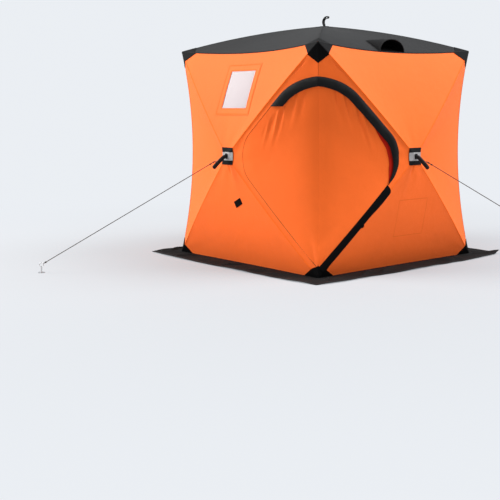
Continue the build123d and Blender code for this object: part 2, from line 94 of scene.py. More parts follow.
class HutDoor(bpy.types.PropertyGroup):
    top: length("Top", 1.515, "Highest point of the zip")
    margin: length("Margin", 0.04, "From the rod's seam to the zip")
    side_round: length("Side round", 0.255, "The zip's radius beside the hub")
    arch_round: length("Arch round", 0.5, "The zip's radius at the top")
    gap: length("Zip gap", 0.003, "Slit between the door and the wall, over the zip tape")
    corner_round: length("Corner round", 0.1, "How softly the door cloth goes round the corner")
    gather: length("Gather", 0.012, "Depth of the folds under the arch")
    cover_puff: length("Cover puff", 0.019, "How far the padded zip cover stands up in its middle")
    cover_width: length("Cover width", 0.074, "Width of the padded zip cover")
    cover_start: length("Cover start", 1.291, "Height where the padded cover begins, on the front wall")
    cover_end: length("Cover end", 0.672, "Height where it ends, on the right wall")
    cover_lap: length("Cover lap", 0.003, "How far the covers reach past the zip")
    strip_width: length("Strip width", 0.05, "Width of the lower zip cover")


class HutOpenings(bpy.types.PropertyGroup):
    window_width: length("Window width", 0.316, "Width of the film in a window")
    window_height: length("Window height", 0.306, "Height of the film in a window")
    window_aside: length("Window aside", 0.025, "From the wall's middle line to the window's")
    window_z: length("Window middle", 1.43, "Height of a window's middle")
    window_frame: length("Window frame", 0.058, "Width of the sewn border")
    skylight_width: length("Skylight width", 0.32, "Width of the film in the roof")
    skylight_depth: length("Skylight depth", 0.21, "Depth of the film in the roof")
    skylight_from_eave: length("Skylight from eave", 0.06, "From the eave to the film")
    vent_width: length("Vent width", 0.29, "Width of the vent hood's mouth")
    vent_height: length("Vent height", 0.108, "Height of the vent hood's mouth")
    vent_length: length("Vent length", 0.225, "Length of the vent hood")
    vent_back_width: length("Vent back width", 0.155, "Width of the hood where it ends")
    vent_back_height: length("Vent back height", 0.014, "Height of the hood where it ends")
    vent_from_eave: length("Vent from eave", 0.0, "From the eave to the hood's mouth")
    vent_hole_width: length("Vent hole width", 0.17, "Width of the hole in the roof")
    vent_hole_depth: length("Vent hole depth", 0.11, "Depth of the hole in the roof")
    vent_hole_inward: length("Vent hole inward", 0.095, "From the hood's mouth to the middle of the hole")


class HutTrim(bpy.types.PropertyGroup):
    seam_width: length("Seam width", 0.013, "Width of the felled seams over the rods")
    hub_patch: length("Hub patch", 0.138, "Side of the patch over a wall hub")
    apex_patch: length("Apex patch", 0.114, "Side of the patch over the roof hub")
    cap_reach: length("Cap reach", 0.18, "Along the eave from a roof corner")
    cap_drop: length("Cap drop", 0.161, "Down the corner edge from a roof corner")
    boot_reach: length("Boot reach", 0.16, "Along the foot from a corner")
    boot_height: length("Boot height", 0.098, "Up the door's corner edge")
    tall_boot_height: length("Tall boot height", 0.14, "Up the other corner edges")
    skirt_width: length("Skirt width", 0.19, "Width of the cloth that lies on the ground")
    pocket_width: length("Pocket width", 0.335, "Width of the stitched pocket on the right wall")
    pocket_height: length("Pocket height", 0.295, "Height of the stitched pocket")
    strap_width: length("Strap width", 0.026, "Width of the pull straps")
    rope_radius: length("Rope radius", 0.003, "Radius of the guy ropes")
    anchor_out: length("Anchor out", 2.3, "From the hut's middle line out to an anchor")
    anchor_aside: length("Anchor aside", 0.75, "From a wall's middle line to its anchor")
    anchor_eye: length("Anchor eye", 0.062, "Height of an anchor's ring")


class HutColours(bpy.types.PropertyGroup):
    wall: colour("Wall", (0.93, 0.142, 0.013), "Orange wall cloth")
    roof: colour("Roof", (0.016, 0.0163, 0.017), "Charcoal roof cloth")
    patch: colour("Patch", (0.003, 0.003, 0.0033), "Black patches and boots")
    cap: colour("Cap", (0.0085, 0.0085, 0.009), "Corner caps, hub patches and vent hood")
    # The red strip under the zip cover is painted shade: it stands for the reddish shadow that the cover's
    # free edge casts on the door.
    painted_shade_strip: colour("Inner tape", (0.42, 0.009, 0.002), "Red strip of painted shade inside the zip cover")
    cover: colour("Zip cover", (0.006, 0.0062, 0.0065), "Padded zip cover")
    skirt: colour("Skirt", (0.0065, 0.006, 0.006), "Cloth on the ground")
    webbing: colour("Webbing", (0.004, 0.004, 0.0043), "Straps and pull loop")
    rope: colour("Rope", (0.05, 0.035, 0.028), "Guy ropes")
    film: colour("Window film", (0.3, 0.236, 0.254), "Frosted film")
    reflective: colour("Reflective band", (0.34, 0.33, 0.33), "Grey band on the hub patches")
    floor: colour("Floor", (0.34, 0.35, 0.365), "Pale studio floor")
    backdrop: colour("Backdrop", (0.83, 0.86, 0.9), "What shows behind the hut and far off")


class HutSettings(bpy.types.PropertyGroup):
    body: PointerProperty(type=HutBody)
    door: PointerProperty(type=HutDoor)
    openings: PointerProperty(type=HutOpenings)
    trim: PointerProperty(type=HutTrim)
    colours: PointerProperty(type=HutColours)


def settings():
    return bpy.context.scene.fishing_hut


# ---------------------------------------------------------------- the shape of the cloth


def mix(a, b, t):
    return a + (b - a) * t


def ramp(value, low, high):
    """0 below low, 1 above high, and smooth between them."""
    t = min(max((value - low) / (high - low), 0), 1)
    return t * t * (3 - 2 * t)


def root(a, b, c):
    """The larger solution of a t² - b t + c = 0."""
    return (b + math.sqrt(max(b * b - 4 * a * c, 0))) / (2 * a)


def hub_height():
    b = settings().body
    return (b.eave_height + b.foot_height) / 2


def wall_reach():
    b = settings().body
    return (b.eave_height - b.foot_height) / 2


def panel_share(x, z):
    """The panel that a point of a wall is on, how far it lies from the hub towards the
    panel's edge, and how far aside."""
    b = settings().body
    half, reach, rise = b.side / 2, wall_reach(), z - hub_height()
    corner = b.corner_curve / ROOT2
    if abs(x) / half >= abs(rise) / reach:
        share = root(half - corner, abs(x), corner * (rise / reach) ** 2)
        return "side", share, rise / (reach * share) if share > 1e-6 else 0
    if rise > 0:
        share = root(reach - b.eave_sag, rise, b.eave_sag * (x / half) ** 2)
        return "top", share, x / (half * share)
    share = -rise / reach
    return "foot", share, x / (half * share)


def creases(x, z, share, seed):
    """Small hollows and ridges in the stretched cloth, in metres outwards: puckers round
    the hub and at the corners, slow waves between, and one fold under each hub patch."""
    hub_pucker, hub_rays = 0.0026, 9
    corner_pucker, corner_rays = 0.0022, 15
    wave, fold, fold_width = 0.0022, 0.009, 0.011
    half, rise = settings().body.side / 2, z - hub_height()
    r, angle = math.hypot(x, rise), math.atan2(rise, x)
    near_hub = ramp(r, 0.085, 0.17) * math.exp(-(r - 0.08) / 0.16)
    wander = 2 * noise.noise((x * 4, rise * 4, seed))
    height = hub_pucker * near_hub * math.sin(hub_rays * angle + 1.3 * seed + wander)
    for sx, sz in QUADRANTS:
        dx, dz = x - sx * half, rise - sz * wall_reach()
        d, fan = math.hypot(dx, dz), math.atan2(dz * sz, dx * sx)
        near_corner = corner_pucker * math.exp(-d / 0.17) * ramp(d, 0.05, 0.16)
        height += near_corner * math.sin(corner_rays * fan + seed + sx * 2)
    height += wave * noise.noise((x * 2.3 + seed * 7, rise * 2.3, 3.1 * seed)) * ramp(r, 0.1, 0.3)
    below = -rise - 0.066
    off = x - (-1 if seed % 2 else 1) * (0.008 + 0.36 * below)
    along = ramp(below, -0.01, 0.02) * (1 - ramp(below, 0.035, 0.1))
    height -= fold * math.exp(-(off / fold_width) ** 2) * along
    seam = abs(abs(x) / half - abs(rise) / wall_reach())
    return height * (0.25 + 0.75 * ramp(seam, 0.0, 0.06)) * ramp(1 - share, 0.0, 0.05)


def wall_depth(x, z, seed):
    """How far the cloth stands outside the line of the corners, on the front wall."""
    b = settings().body
    kind, share, aside = panel_share(x, z)
    pull = {"top": b.eave_in, "foot": b.foot_in, "side": b.corner_curve / ROOT2}[kind]
    depth = b.wall_bulge * (1 - share) + 4 * b.wall_bow * share * (1 - share)
    return depth - pull * share * (1 - aside * aside) + creases(x, z, share, seed)


def wall_normal(x, z, seed):
    step = SLOPE_STEP
    return Vector((
        (wall_depth(x - step, z, seed) - wall_depth(x + step, z, seed)) / (2 * step),
        -1,
        (wall_depth(x, z - step, seed) - wall_depth(x, z + step, seed)) / (2 * step),
    )).normalized()


def wall_point(x, z, lift=0.0, seed=0):
    """A point on the front wall's cloth, or that far above it."""
    point = Vector((x, -settings().body.side / 2 - wall_depth(x, z, seed), z))
    return point + wall_normal(x, z, seed) * lift if lift else point


def corner_x(z):
    """The distance of a wall's corner edge from the wall's middle line, at a height."""
    b = settings().body
    rise = (z - hub_height()) / wall_reach()
    return b.side / 2 - b.corner_curve / ROOT2 * (1 - rise * rise)


def eave_z(x):
    b = settings().body
    return b.eave_height - b.eave_sag * (1 - (x / (b.side / 2)) ** 2)


def roof_height(x, reach, seed=0):
    """Height of the roof cloth, x aside and reach outwards from the peak."""
    b = settings().body
    half, ripple_height = b.side / 2, 0.0024
    if abs(x) > reach:
        x, reach = reach, abs(x)
    share = root(half - b.eave_in, reach, b.eave_in * (x / half) ** 2)
    aside = x / (half * share) if share > 1e-6 else 0
    rise = (b.peak_height - b.eave_height) * (1 - share) + 4 * b.roof_bow * share * (1 - share)
    ripple = ripple_height * noise.noise((x * 3, reach * 3, 5.3 + seed)) * ramp(share, 0.1, 0.35)
    ripple *= ramp(1 - abs(aside), 0.0, 0.15) * ramp(1 - share, 0.0, 0.08)
    return b.eave_height + rise - b.eave_sag * share * (1 - aside * aside) + ripple


def roof_point(x, reach, lift=0.0, seed=0):
    """A point on the roof's front panel, or that far above it."""
    point = Vector((x, -reach, roof_height(x, reach, seed)))
    if not lift:
        return point
    step = SLOPE_STEP
    normal = Vector((
        (roof_height(x - step, reach, seed) - roof_height(x + step, reach, seed)) / (2 * step),
        (roof_height(x, reach + step, seed) - roof_height(x, reach - step, seed)) / (2 * step),
        1,
    )).normalized()
    return point + normal * lift


def roof_everywhere(x, y, lift):
    """A point over any of the roof's four panels, by its place in the plan."""
    if abs(y) >= abs(x):
        p = roof_point(x, abs(y), lift)
        return Vector((p.x, p.y * (1 if y < 0 else -1), p.z))
    p = roof_point(y, abs(x), lift)
    return Vector((-p.y * (1 if x > 0 else -1), p.x, p.z))


def turned(point, turn):
    """The same point of the front wall, on another one."""
    for _ in range(turn):
        point = Vector((-point.y, point.x, point.z))
    return point


# ---------------------------------------------------------------- lines


def runs(path):
    """The distance along a line at each of its points."""
    run = [0.0]
    for a, b in zip(path, path[1:]):
        run.append(run[-1] + (b - a).length)
    return run


def heading(path, k):
    """The way that a line runs at one of its points."""
    return (path[min(k + 1, len(path) - 1)] - path[max(k - 1, 0)]).normalized()


def straight(a, b, count):
    """Points at even steps from one to the other."""
    return [a.lerp(b, i / count) for i in range(count + 1)]


def respaced(path, spacing):
    """The same line with points at even steps."""
    run = runs(path)
    count = max(2, round(run[-1] / spacing))
    result, k = [], 0
    for i in range(count + 1):
        s = run[-1] * i / count
        while k < len(path) - 2 and run[k + 1] < s:
            k += 1
        span = run[k + 1] - run[k]
        result.append(path[k].lerp(path[k + 1], (s - run[k]) / span if span else 0))
    return result


def smooth_path(points, spacing):
    """Points at even steps on a smooth line through these."""
    dense, pieces = [], 16
    for i in range(len(points) - 1):
        p0, p1, p2 = points[max(i - 1, 0)], points[i], points[i + 1]
        p3 = points[min(i + 2, len(points) - 1)]
        for t in (j / pieces for j in range(pieces)):
            dense.append(0.5 * (2 * p1 + (p2 - p0) * t + (2 * p0 - 5 * p1 + 4 * p2 - p3) * t * t
                                + (3 * p1 - p0 - 3 * p2 + p3) * t ** 3))
    return respaced(dense + [points[-1]], spacing)


def rectangle(width, height, middle=(0, 0), spacing=0.012):
    """Points round a rectangle, closed."""
    x, y = width / 2, height / 2
    corners = [Vector(middle) + Vector(p) for p in ((-x, -y), (x, -y), (x, y), (-x, y), (-x, -y))]
    result = []
    for a, b in zip(corners, corners[1:]):
        result += straight(a, b, max(2, round((b - a).length / spacing)))[:-1]
    return result + [corners[-1]]


def round_corner(corner, before, after, radius):
    """Where an arc that rounds a corner begins and ends, and its middle."""
    a, b = (before - corner).normalized(), (after - corner).normalized()
    angle = a.angle(b)
    run = radius / math.tan(angle / 2)
    middle = corner + (a + b).normalized() * radius / math.sin(angle / 2)
    return corner + a * run, corner + b * run, middle


def zip_line(inset=0.0, spacing=0.012):
    """Points (x, z) on the zip of the front wall, from the foot of the corner up to its top."""
    b, d = settings().body, settings().door
    arc_steps = 40
    slope = wall_reach() / (b.side / 2)
    lift = (d.margin + inset) * math.sqrt(1 + slope * slope)
    top, far = d.top - inset, b.side / 2 + 0.2
    low = Vector((far, hub_height() - slope * far + lift))
    side = Vector((lift / slope, hub_height()))
    arch = Vector(((top - hub_height() + lift) / slope, top))
    end = Vector((far, top))
    path = [low]
    for corner, before, after, radius in (
        (side, low, arch, d.side_round - inset), (arch, side, end, d.arch_round - inset)
    ):
        first, last, middle = round_corner(corner, before, after, radius)
        start, turn = first - middle, (first - middle).angle_signed(last - middle)
        for i in range(arc_steps + 1):
            t = -turn * i / arc_steps
            c, s = math.cos(t), math.sin(t)
            path.append(middle + Vector((start.x * c - start.y * s, start.x * s + start.y * c)))
    path.append(end)
    return inside_corner(respaced(path, spacing))


def inside_corner(path):
    """The stretch of a line between the corner's foot and the corner's top."""
    result = []
    for a, b in zip(path, path[1:]):
        out_a, out_b = a.x - corner_x(a.y), b.x - corner_x(b.y)
        if out_a * out_b < 0:
            result.append(a.lerp(b, out_a / (out_a - out_b)))
        if out_b < 0:
            result.append(b)
    return result


# ---------------------------------------------------------------- making meshes


def deselect():
    if bpy.context.object and bpy.context.object.mode != "OBJECT":
        bpy.ops.object.mode_set(mode="OBJECT")
    bpy.ops.object.select_all(action="DESELECT")


def pick(ob):
    deselect()
    ob.select_set(True)
    bpy.context.view_layer.objects.active = ob


def apply(ob, kind, **values):
    """A modifier with these values, applied."""
    pick(ob)
    modifier = ob.modifiers.new(kind.title(), kind)
    for key, value in values.items():
        setattr(modifier, key, value)
    bpy.ops.object.modifier_apply(modifier=modifier.name)


def grid(name, columns, rows, place, pattern=None, axes=(0, 2)):
    """A primitive grid whose points go to place(s, t). Its UV map is pattern(s, t), or
    else the places along two axes, in metres."""
    deselect()
    bpy.ops.mesh.primitive_grid_add(x_subdivisions=columns, y_subdivisions=rows, size=1)
    ob = bpy.context.object
    ob.name = ob.data.name = name
    mesh = ob.data
    shares = [(v.co.x + 0.5, v.co.y + 0.5) for v in mesh.vertices]
    for v, (s, t) in zip(mesh.vertices, shares):
        v.co = place(s, t)
    layer = mesh.uv_layers.active
    layer.name = "Cloth"
    for loop in mesh.loops:
        co = mesh.vertices[loop.vertex_index].co
        uv = pattern(*shares[loop.vertex_index]) if pattern else (co[axes[0]], co[axes[1]])
        layer.data[loop.index].uv = uv
    return ob


def metres(width, height):
    """A UV map in metres that starts at a corner."""
    return lambda s, t: (s * width, t * height)


def patch(name, cells, width, height, place):
    """A rectangle of cloth, placed by place(x, y) from its middle."""
    return grid(name, *cells, lambda s, t: place((s - 0.5) * width, (t - 0.5) * height),
                metres(width, height))


def joined(name, obs):
    deselect()
    for ob in obs:
        ob.select_set(True)
    bpy.context.view_layer.objects.active = obs[0]
    if len(obs) > 1:
        bpy.ops.object.join()
    obs[0].name = obs[0].data.name = name
    return obs[0]


def reworked(ob, change):
    """Runs change(bm) on an object's mesh."""
    bm = bmesh.new()
    bm.from_mesh(ob.data)
    change(bm)
    bm.to_mesh(ob.data)
    bm.free()
    return ob


def merged(ob, distance=0.0005, close=False):
    """Welds points that lie together. close also closes the open ends."""
    def change(bm):
        bmesh.ops.remove_doubles(bm, verts=bm.verts, dist=distance)
        if close:
            bmesh.ops.holes_fill(bm, edges=[e for e in bm.edges if e.is_boundary], sides=0)
            bmesh.ops.recalc_face_normals(bm, faces=bm.faces)
    return reworked(ob, change)


def cut(bm, point, normal, **options):
    """Cuts a mesh along a plane."""
    bmesh.ops.bisect_plane(bm, geom=bm.verts[:] + bm.edges[:] + bm.faces[:], dist=1e-5,
                           plane_co=point, plane_no=normal, **options)


def cut_below(ob, height):
    """Cuts off what lies under a height."""
    reworked(ob, lambda bm: cut(bm, UP * height, UP, clear_inner=True))


def cut_opening(ob, axes, middle, width, height):
    """Cuts a rectangle out of a sheet that isn't yet thick. axes are its two directions."""
    def change(bm):
        spans = list(zip(axes, middle, (width, height)))
        for axis, centre, extent in spans:
            for sign in (-1, 1):
                cut(bm, axis * (centre + sign * (extent / 2)), axis)
        inside = []
        for face in bm.faces:
            c = face.calc_center_median()
            if all(abs(c.dot(axis) - centre) < extent / 2 for axis, centre, extent in spans):
                inside.append(face)
        bmesh.ops.delete(bm, geom=inside, context="FACES")
    reworked(ob, change)


def flat_area(ob):
    return sum(p.area for p in ob.data.polygons)


def placed(ob, turn=0, away=None, thick=0.0):
    """Puts a mesh of the front wall on another one. Before that, away turns its faces so
    that most of them look that way, and thick gives the sheet its thickness."""
    if away is not None and sum(p.normal.dot(away) * p.area for p in ob.data.polygons) < 0:
        ob.data.flip_normals()
    if thick:
        apply(ob, "SOLIDIFY", thickness=thick, offset=-1)
    ob.data.transform(Matrix.Rotation(math.radians(90 * turn), 4, "Z"))
    ob.data.update()
    return ob


def finish_piece(ob, look, replaces=(), smooth=35):
    """Gives a piece its material, shading and place in the assembly."""
    looks()[look][0]
    dress(ob, look)
    pick(ob)
    bpy.ops.object.shade_smooth_by_angle(angle=math.radians(smooth))
    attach(ob, "root")
    if replaces:
        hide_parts(*replaces)
    return ob


def cloth_piece(ob, look, away, thick, flat, replaces=(), turn=0, smooth=35):
    width, run = flat
    least = 0.301
    area = min(max(flat_area(ob), least * width * run), width * run)
    finish_piece(placed(ob, turn, away, thick), look, replaces, smooth)


def cloth_set(name, obs, look, nodes=()):
    ob = finish_piece(joined(name, obs), look, nodes, smooth=50)


def ribbon(name, path, width, lift_of, columns=2, rise=0.0):
    """A band along points of a wall or roof. path holds (a, b) in its plane, and
    lift_of(a, b, h) gives the place of a point h above the cloth. rise is its crown."""
    run, last = runs(path), len(path) - 1

    def place(s, t):
        k = round(t * last)
        along = heading(path, k)
        p = path[k] + Vector((along.y, -along.x)) * (s - 0.5) * width
        return lift_of(p.x, p.y, rise * (1 - (2 * s - 1) ** 4))

    return grid(name, columns, last, place, lambda s, t: ((s - 0.5) * width, run[round(t * last)]))


def stitch_rows(name, loops, lift_of, width=0.0035):
    """Thin bands of stitches along lines, all in one piece."""
    return joined(name, [ribbon(name + str(i), loop, width, lift_of, rise=0.0003)
                         for i, loop in enumerate(loops)])


def piping(name, path, radius, sides=10):
    """A closed round cord along points, a little thinner at its ends."""
    run, last, end_size = runs(path), len(path) - 1, 0.55

    def place(s, t):
        k = round(t * last)
        along = heading(path, k)
        side = along.cross(UP if abs(along.z) < 0.9 else RIGHT).normalized()
        other = along.cross(side)
        a = 2 * math.pi * s
        size = end_size if k in (0, last) else 1
        return path[k] + (side * math.cos(a) + other * math.sin(a)) * radius * size

    around = 2 * math.pi * radius
    ob = grid(name, sides, last, place, lambda s, t: ((s - 0.5) * around, run[round(t * last)]))
    return merged(ob, 1e-5, close=True)


# ---------------------------------------------------------------- materials


class Nodes:
    """Short ways to add and link the nodes of a tree. A value can be a constant, an
    output, or a node, which stands for its first output."""

    def __init__(self, tree):
        self.nodes, self.links = tree.nodes, tree.links

    def put(self, node, key, value):
        if isinstance(value, bpy.types.Node):
            value = value.outputs[0]
        if isinstance(value, bpy.types.NodeSocket):
            self.links.new(value, node.inputs[key])
        else:
            node.inputs[key].default_value = value

    def add(self, kind, values=None, **options):
        node = self.nodes.new("ShaderNode" + kind)
        for key, value in options.items():
            setattr(node, key, value)
        for key, value in (values or {}).items():
            self.put(node, key, value)
        return node

    def drive(self, key, value):
        """Sets or links an input of the Principled shader."""
        self.put(self.nodes["Principled BSDF"], key, value)

    def calc(self, operation, *values):
        return self.add("Math", dict(enumerate(values)), operation=operation)

    def remap(self, value, low, high, to_low, to_high):
        return self.add("MapRange", {"Value": value, "From Min": low, "From Max": high,
                                     "To Min": to_low, "To Max": to_high})

    def bump(self, height, strength, distance, **values):
        return self.add("Bump", {"Height": height, "Strength": strength, "Distance": distance, **values})

    def mapped(self, source, **values):
        """The "UV" map or the "Object" coordinates, through a Mapping node."""
        return self.add("Mapping", {"Vector": self.add("TexCoord").outputs[source], **values})

    def grain(self, place, scale, detail, **values):
        return self.add("TexNoise", {"Vector": place, "Scale": scale, "Detail": detail, **values})

    def blend(self, factor, one, other, **options):
        """A mix of two colours."""
        return self.add("Mix", {"Factor": factor, 6: one, 7: other}, data_type="RGBA", **options).outputs[2]

    def mottle(self, place, base, low, high, scale):
        """A colour that varies gently about base, from low to high times as light."""
        patches = self.grain(place, scale, detail=4.0, Roughness=0.55)
        return self.blend(patches, shaded(base, low), shaded(base, high))


def new_material(name, base, roughness, sheen=0.0, metallic=0.0, **inputs):
    """A material with a Principled shader, and its nodes."""
    material = bpy.data.materials.new(name)
    material.use_nodes = True
    nodes = Nodes(material.node_tree)
    constants = {"Base Color": base, "Roughness": roughness, "Metallic": metallic,
                 "Sheen Weight": sheen, "Sheen Roughness": 0.45}
    for key, value in {**constants, **inputs}.items():
        nodes.drive(key.replace("_", " "), value)
    return material, nodes


def shaded(base, factor):
    return tuple(min(c * factor, 1) for c in base[:3]) + (1,)


def woven(name, base, roughness=0.7, sheen=0.0, thread=0.0016, weave=0.25, puckers=0.5, low=0.93,
          high=1.06, gloss=0.5):
    """Plain-weave cloth: two crossing sets of threads, fine puckers, a gentle mottle and painted shade in
    the dips of the weave.
    """
    material, n = new_material(name, base, roughness, sheen, Specular_IOR_Level=gloss)
    threads = n.mapped("UV", Scale=(1 / thread, 1 / thread, 1))
    wave = {"Vector": threads, "Scale": 0.5, "Distortion": 0.4, "Detail": 1.0, "Detail Scale": 2.0}
    cross = n.calc("ADD", *(n.add("TexWave", wave, bands_direction=way).outputs["Fac"] for way in "XY"))
    shape = n.mapped("Object")
    rumple = n.grain(shape, scale=14.0, detail=3.0, Roughness=0.45, Distortion=0.6)
    coarse = n.bump(rumple, puckers, distance=0.006)
    n.drive("Normal", n.bump(cross, weave, distance=0.0004, Normal=coarse))
    # Darker in the dips of the weave and a little lighter on its crossings: painted shade of the weave, on
    # top of its bump.
    weave_dip_shade = n.remap(cross, 0.0, 2.0, to_low=0.94, to_high=1.02)
    tint = n.mottle(shape, base, low, high, scale=3.2)
    n.drive("Base Color", n.blend(1.0, tint, weave_dip_shade, blend_type="MULTIPLY"))
    return material


def stitched(name, base, thread, rows=(0.0,), step=0.0055):
    """Tape or seam cloth with rows of stitches. The UV map runs across and along it, in metres."""
    material, n = new_material(name, base, roughness=0.8, sheen=0.02, Specular_IOR_Level=0.15)
    uv, stitch_share, thread_edge = n.add("SeparateXYZ", {"Vector": n.mapped("UV")}), 0.68, (0.0004, 0.0009)
    on = n.calc("LESS_THAN", n.calc("WRAP", uv.outputs["Y"], step, 0), step * stitch_share)
    far = [n.calc("ABSOLUTE", n.calc("SUBTRACT", uv.outputs["X"], row)) for row in rows]
    near = [n.remap(value, *thread_edge, to_low=1.0, to_high=0.0) for value in far]
    mask = n.calc("MAXIMUM", *near) if len(near) > 1 else near[0]
    stitch = n.calc("MULTIPLY", mask, on)
    tint = n.mottle(n.mapped("Object"), base, 0.9, 1.06, scale=20)
    n.drive("Base Color", n.blend(stitch, tint, thread))
    n.drive("Normal", n.bump(n.calc("SUBTRACT", stitch, mask), strength=0.6, distance=0.0008))
    return material


def moulded(name, base, roughness, grain, metallic=0.0, depth=0.0004, low=0.85, high=1.15):
    """Moulded plastic or plated metal with a fine grain and a gentle wear mottle."""
    material, n = new_material(name, base, roughness, metallic=metallic)
    shape = n.mapped("Object")
    n.drive("Normal", n.bump(n.grain(shape, grain, detail=3.0), strength=0.35, distance=depth))
    n.drive("Base Color", n.mottle(shape, base, low, high, scale=22))
    wear = n.grain(shape, scale=35.0, detail=4.0)
    smooth, rough = roughness * 0.85, min(roughness * 1.25, 1)
    n.drive("Roughness", n.remap(wear, 0.3, 0.7, smooth, rough))
    return material


def braided(name, base, pitch):
    """Rope or webbing: slanted strands that cross, on a UV map in metres."""
    material, n = new_material(name, base, roughness=0.8, sheen=0.1, Specular_IOR_Level=0.3)
    heights = []
    for lean in (48, -48):
        strands = n.mapped("UV", Scale=(1 / pitch, 1 / pitch, 1), Rotation=(0, 0, math.radians(lean)))
        wave = n.add("TexWave", {"Vector": strands, "Scale": 0.5, "Distortion": 0.3}, bands_direction="X")
        heights.append(wave.outputs["Fac"])
    cross = n.calc("MAXIMUM", *heights)
    n.drive("Normal", n.bump(cross, strength=0.7, distance=0.0006))
    # Darker in the grooves between strands and lighter on their crests: painted shade and highlight of the
    # braid.
    n.drive("Base Color", n.blend(cross, shaded(base, 0.6), shaded(base, 1.25)))
    return material


def frosted(name, base, roughness):
    """Frosted flexible film with faint ripples."""
    material, n = new_material(name, base, roughness, Transmission_Weight=0.12, IOR=1.4)
    shape = n.mapped("Object", Scale=(1, 1, 0.4))
    ripples = n.grain(shape, scale=9.0, detail=2.0, Distortion=0.8)
    n.drive("Normal", n.bump(ripples, strength=0.25, distance=0.004))
    n.drive("Base Color", n.mottle(shape, base, 0.96, 1.03, scale=6))
    return material


def looks():
    """Every look: the slot of its pieces, and what makes its material."""
    c = settings().colours
    orange_thread, two_rows = shaded(c.wall, 0.88), (-0.004, 0.004)
    return {
        "wall cloth": ("orange_cloth", lambda: woven(
            "Orange wall cloth", c.wall, sheen=0.05, puckers=0.35, gloss=0.22)),
        "wall seam": ("orange_cloth", lambda: stitched(
            "Orange felled seam", c.wall, orange_thread, two_rows)),
        # The welts are sewn from the wall cloth; their darker orange and thread are painted shade along the
        # corner seams.
        "painted shade corner welt": ("orange_cloth", lambda: stitched(
            "Orange welt with painted seam shade", shaded(c.wall, 0.6), shaded(c.wall, 0.5))),
        "wall stitching": ("orange_cloth", lambda: stitched(
            "Orange stitching", shaded(c.wall, 0.86), orange_thread)),
        # Painted shade: this red strip stands for the shadow under the zip cover's free edge.
        "inner tape": ("orange_cloth", lambda: woven(
            "Red painted shade strip", c.painted_shade_strip, roughness=0.8, thread=0.001, gloss=0.1)),
        "roof cloth": ("charcoal_cloth", lambda: woven(
            "Charcoal roof cloth", c.roof, roughness=0.85, sheen=0.02, puckers=0.45,
            low=0.86, high=1.14, gloss=0.15)),
        "roof seam": ("charcoal_cloth", lambda: stitched(
            "Charcoal felled seam", shaded(c.roof, 0.75), shaded(c.roof, 0.35), two_rows)),
        "patch cloth": ("black_cloth", lambda: woven(
            "Black patch cloth", c.patch, thread=0.0012, low=0.8, high=1.3, gloss=0.03)),
        "cap cloth": ("black_cloth", lambda: woven(
            "Dark cap cloth", c.cap, roughness=0.8, low=0.85, high=1.2, gloss=0.08)),
        "cover cloth": ("black_cloth", lambda: woven(
            "Zip cover cloth", c.cover, roughness=0.68, puckers=0.9, low=0.8, high=1.25,
            gloss=0.12)),
        "net": ("black_cloth", lambda: woven(
            "Black netting", shaded(c.patch, 0.8), roughness=0.8, thread=0.003, weave=1.0, gloss=0.02)),
        "reflective": ("black_cloth", lambda: woven(
            "Reflective tape", c.reflective, roughness=0.34, thread=0.0022, weave=0.6,
            puckers=0.6, low=0.85, high=1.1)),
        "black stitching": ("black_cloth", lambda: stitched(
            "Black stitching", shaded(c.patch, 1.4), shaded(c.patch, 5))),
        "zip tape": ("black_cloth", lambda: stitched(
            "Zip tape", (0.03, 0.012, 0.006, 1), (0.1, 0.04, 0.02, 1), step=0.002)),
        "skirt cloth": ("skirt_cloth", lambda: woven(
            "Skirt cloth", c.skirt, roughness=0.85, puckers=1.0, low=0.8, high=1.2, gloss=0.1)),
        "window film": ("window_film", lambda: frosted("Window film", c.film, roughness=0.32)),
        "skylight film": ("skylight_film", lambda: frosted(
            "Skylight film", (0.46, 0.475, 0.48, 1), roughness=0.3)),
        "webbing": ("webbing", lambda: braided("Black webbing", c.webbing, pitch=0.0032)),
        "rope": ("rope", lambda: braided("Guy rope braid", c.rope, pitch=0.0028)),
        "nylon": ("hub_plastic", lambda: moulded(
            "Hub nylon", (0.018, 0.018, 0.019, 1), roughness=0.5, grain=220.0)),
        "rod": (None, lambda: moulded(
            "Fibreglass rod", (0.02, 0.02, 0.021, 1), roughness=0.32, grain=90.0, depth=0.0002)),
        "steel": (None, lambda: moulded(
            "Zinc plated steel", (0.58, 0.59, 0.6, 1), roughness=0.34, grain=60.0, metallic=1.0,
            depth=0.0002, low=0.8, high=1.05)),
    }


MATERIALS = {}


def dress(ob, look):
    """Gives an object its material, which is made when it is first wanted."""
    if look not in MATERIALS:
        MATERIALS[look] = looks()[look][1]()
    ob.data.materials.clear()
    ob.data.materials.append(MATERIALS[look])


# ---------------------------------------------------------------- operators: walls, door and roof


class HUT_OT_walls(bpy.types.Operator):
    """Make the stretched cloth of the four walls"""
    bl_idname = "hut.walls"
    bl_label = "Wall Cloth"

    def execute(self, context):
        b, o = settings().body, settings().openings
        half, reach, hub = b.side / 2, wall_reach(), hub_height()
        first, corner = b.hub_hole / b.side, b.corner_curve / ROOT2
        triangles = {
            "top": lambda u, w: (half * u * w, hub + reach * u - b.eave_sag * u * (1 - w * w)),
            "foot": lambda u, w: (half * u * w, hub - reach * u),
            "right": lambda u, w: (half * u - corner * u * (1 - w * w), hub + reach * u * w),
            "left": lambda u, w: (corner * u * (1 - w * w) - half * u, hub + reach * u * w),
        }
        for turn, wall in enumerate(WALLS):
            for side, triangle in triangles.items():
                if (wall, side) in DOOR_SIDES:
                    continue
                ob = grid(f"{wall}_wall_{side}_cloth", *PANEL_CELLS, lambda s, t: wall_point(
                    *triangle(mix(first, 1, t), 2 * s - 1), 0, turn))
                if side == "top" and wall in ("front", "back"):
                    middle = (-o.window_aside, o.window_z)
                    cut_opening(ob, (RIGHT, UP), middle, o.window_width, o.window_height)
                flat = (b.side, reach) if side in ("top", "foot") else (b.eave_height, half)
                cloth_piece(ob, "wall cloth", OUT, b.cloth, flat, [f"{wall}_wall_{side}_panel"], turn)
        return {"FINISHED"}


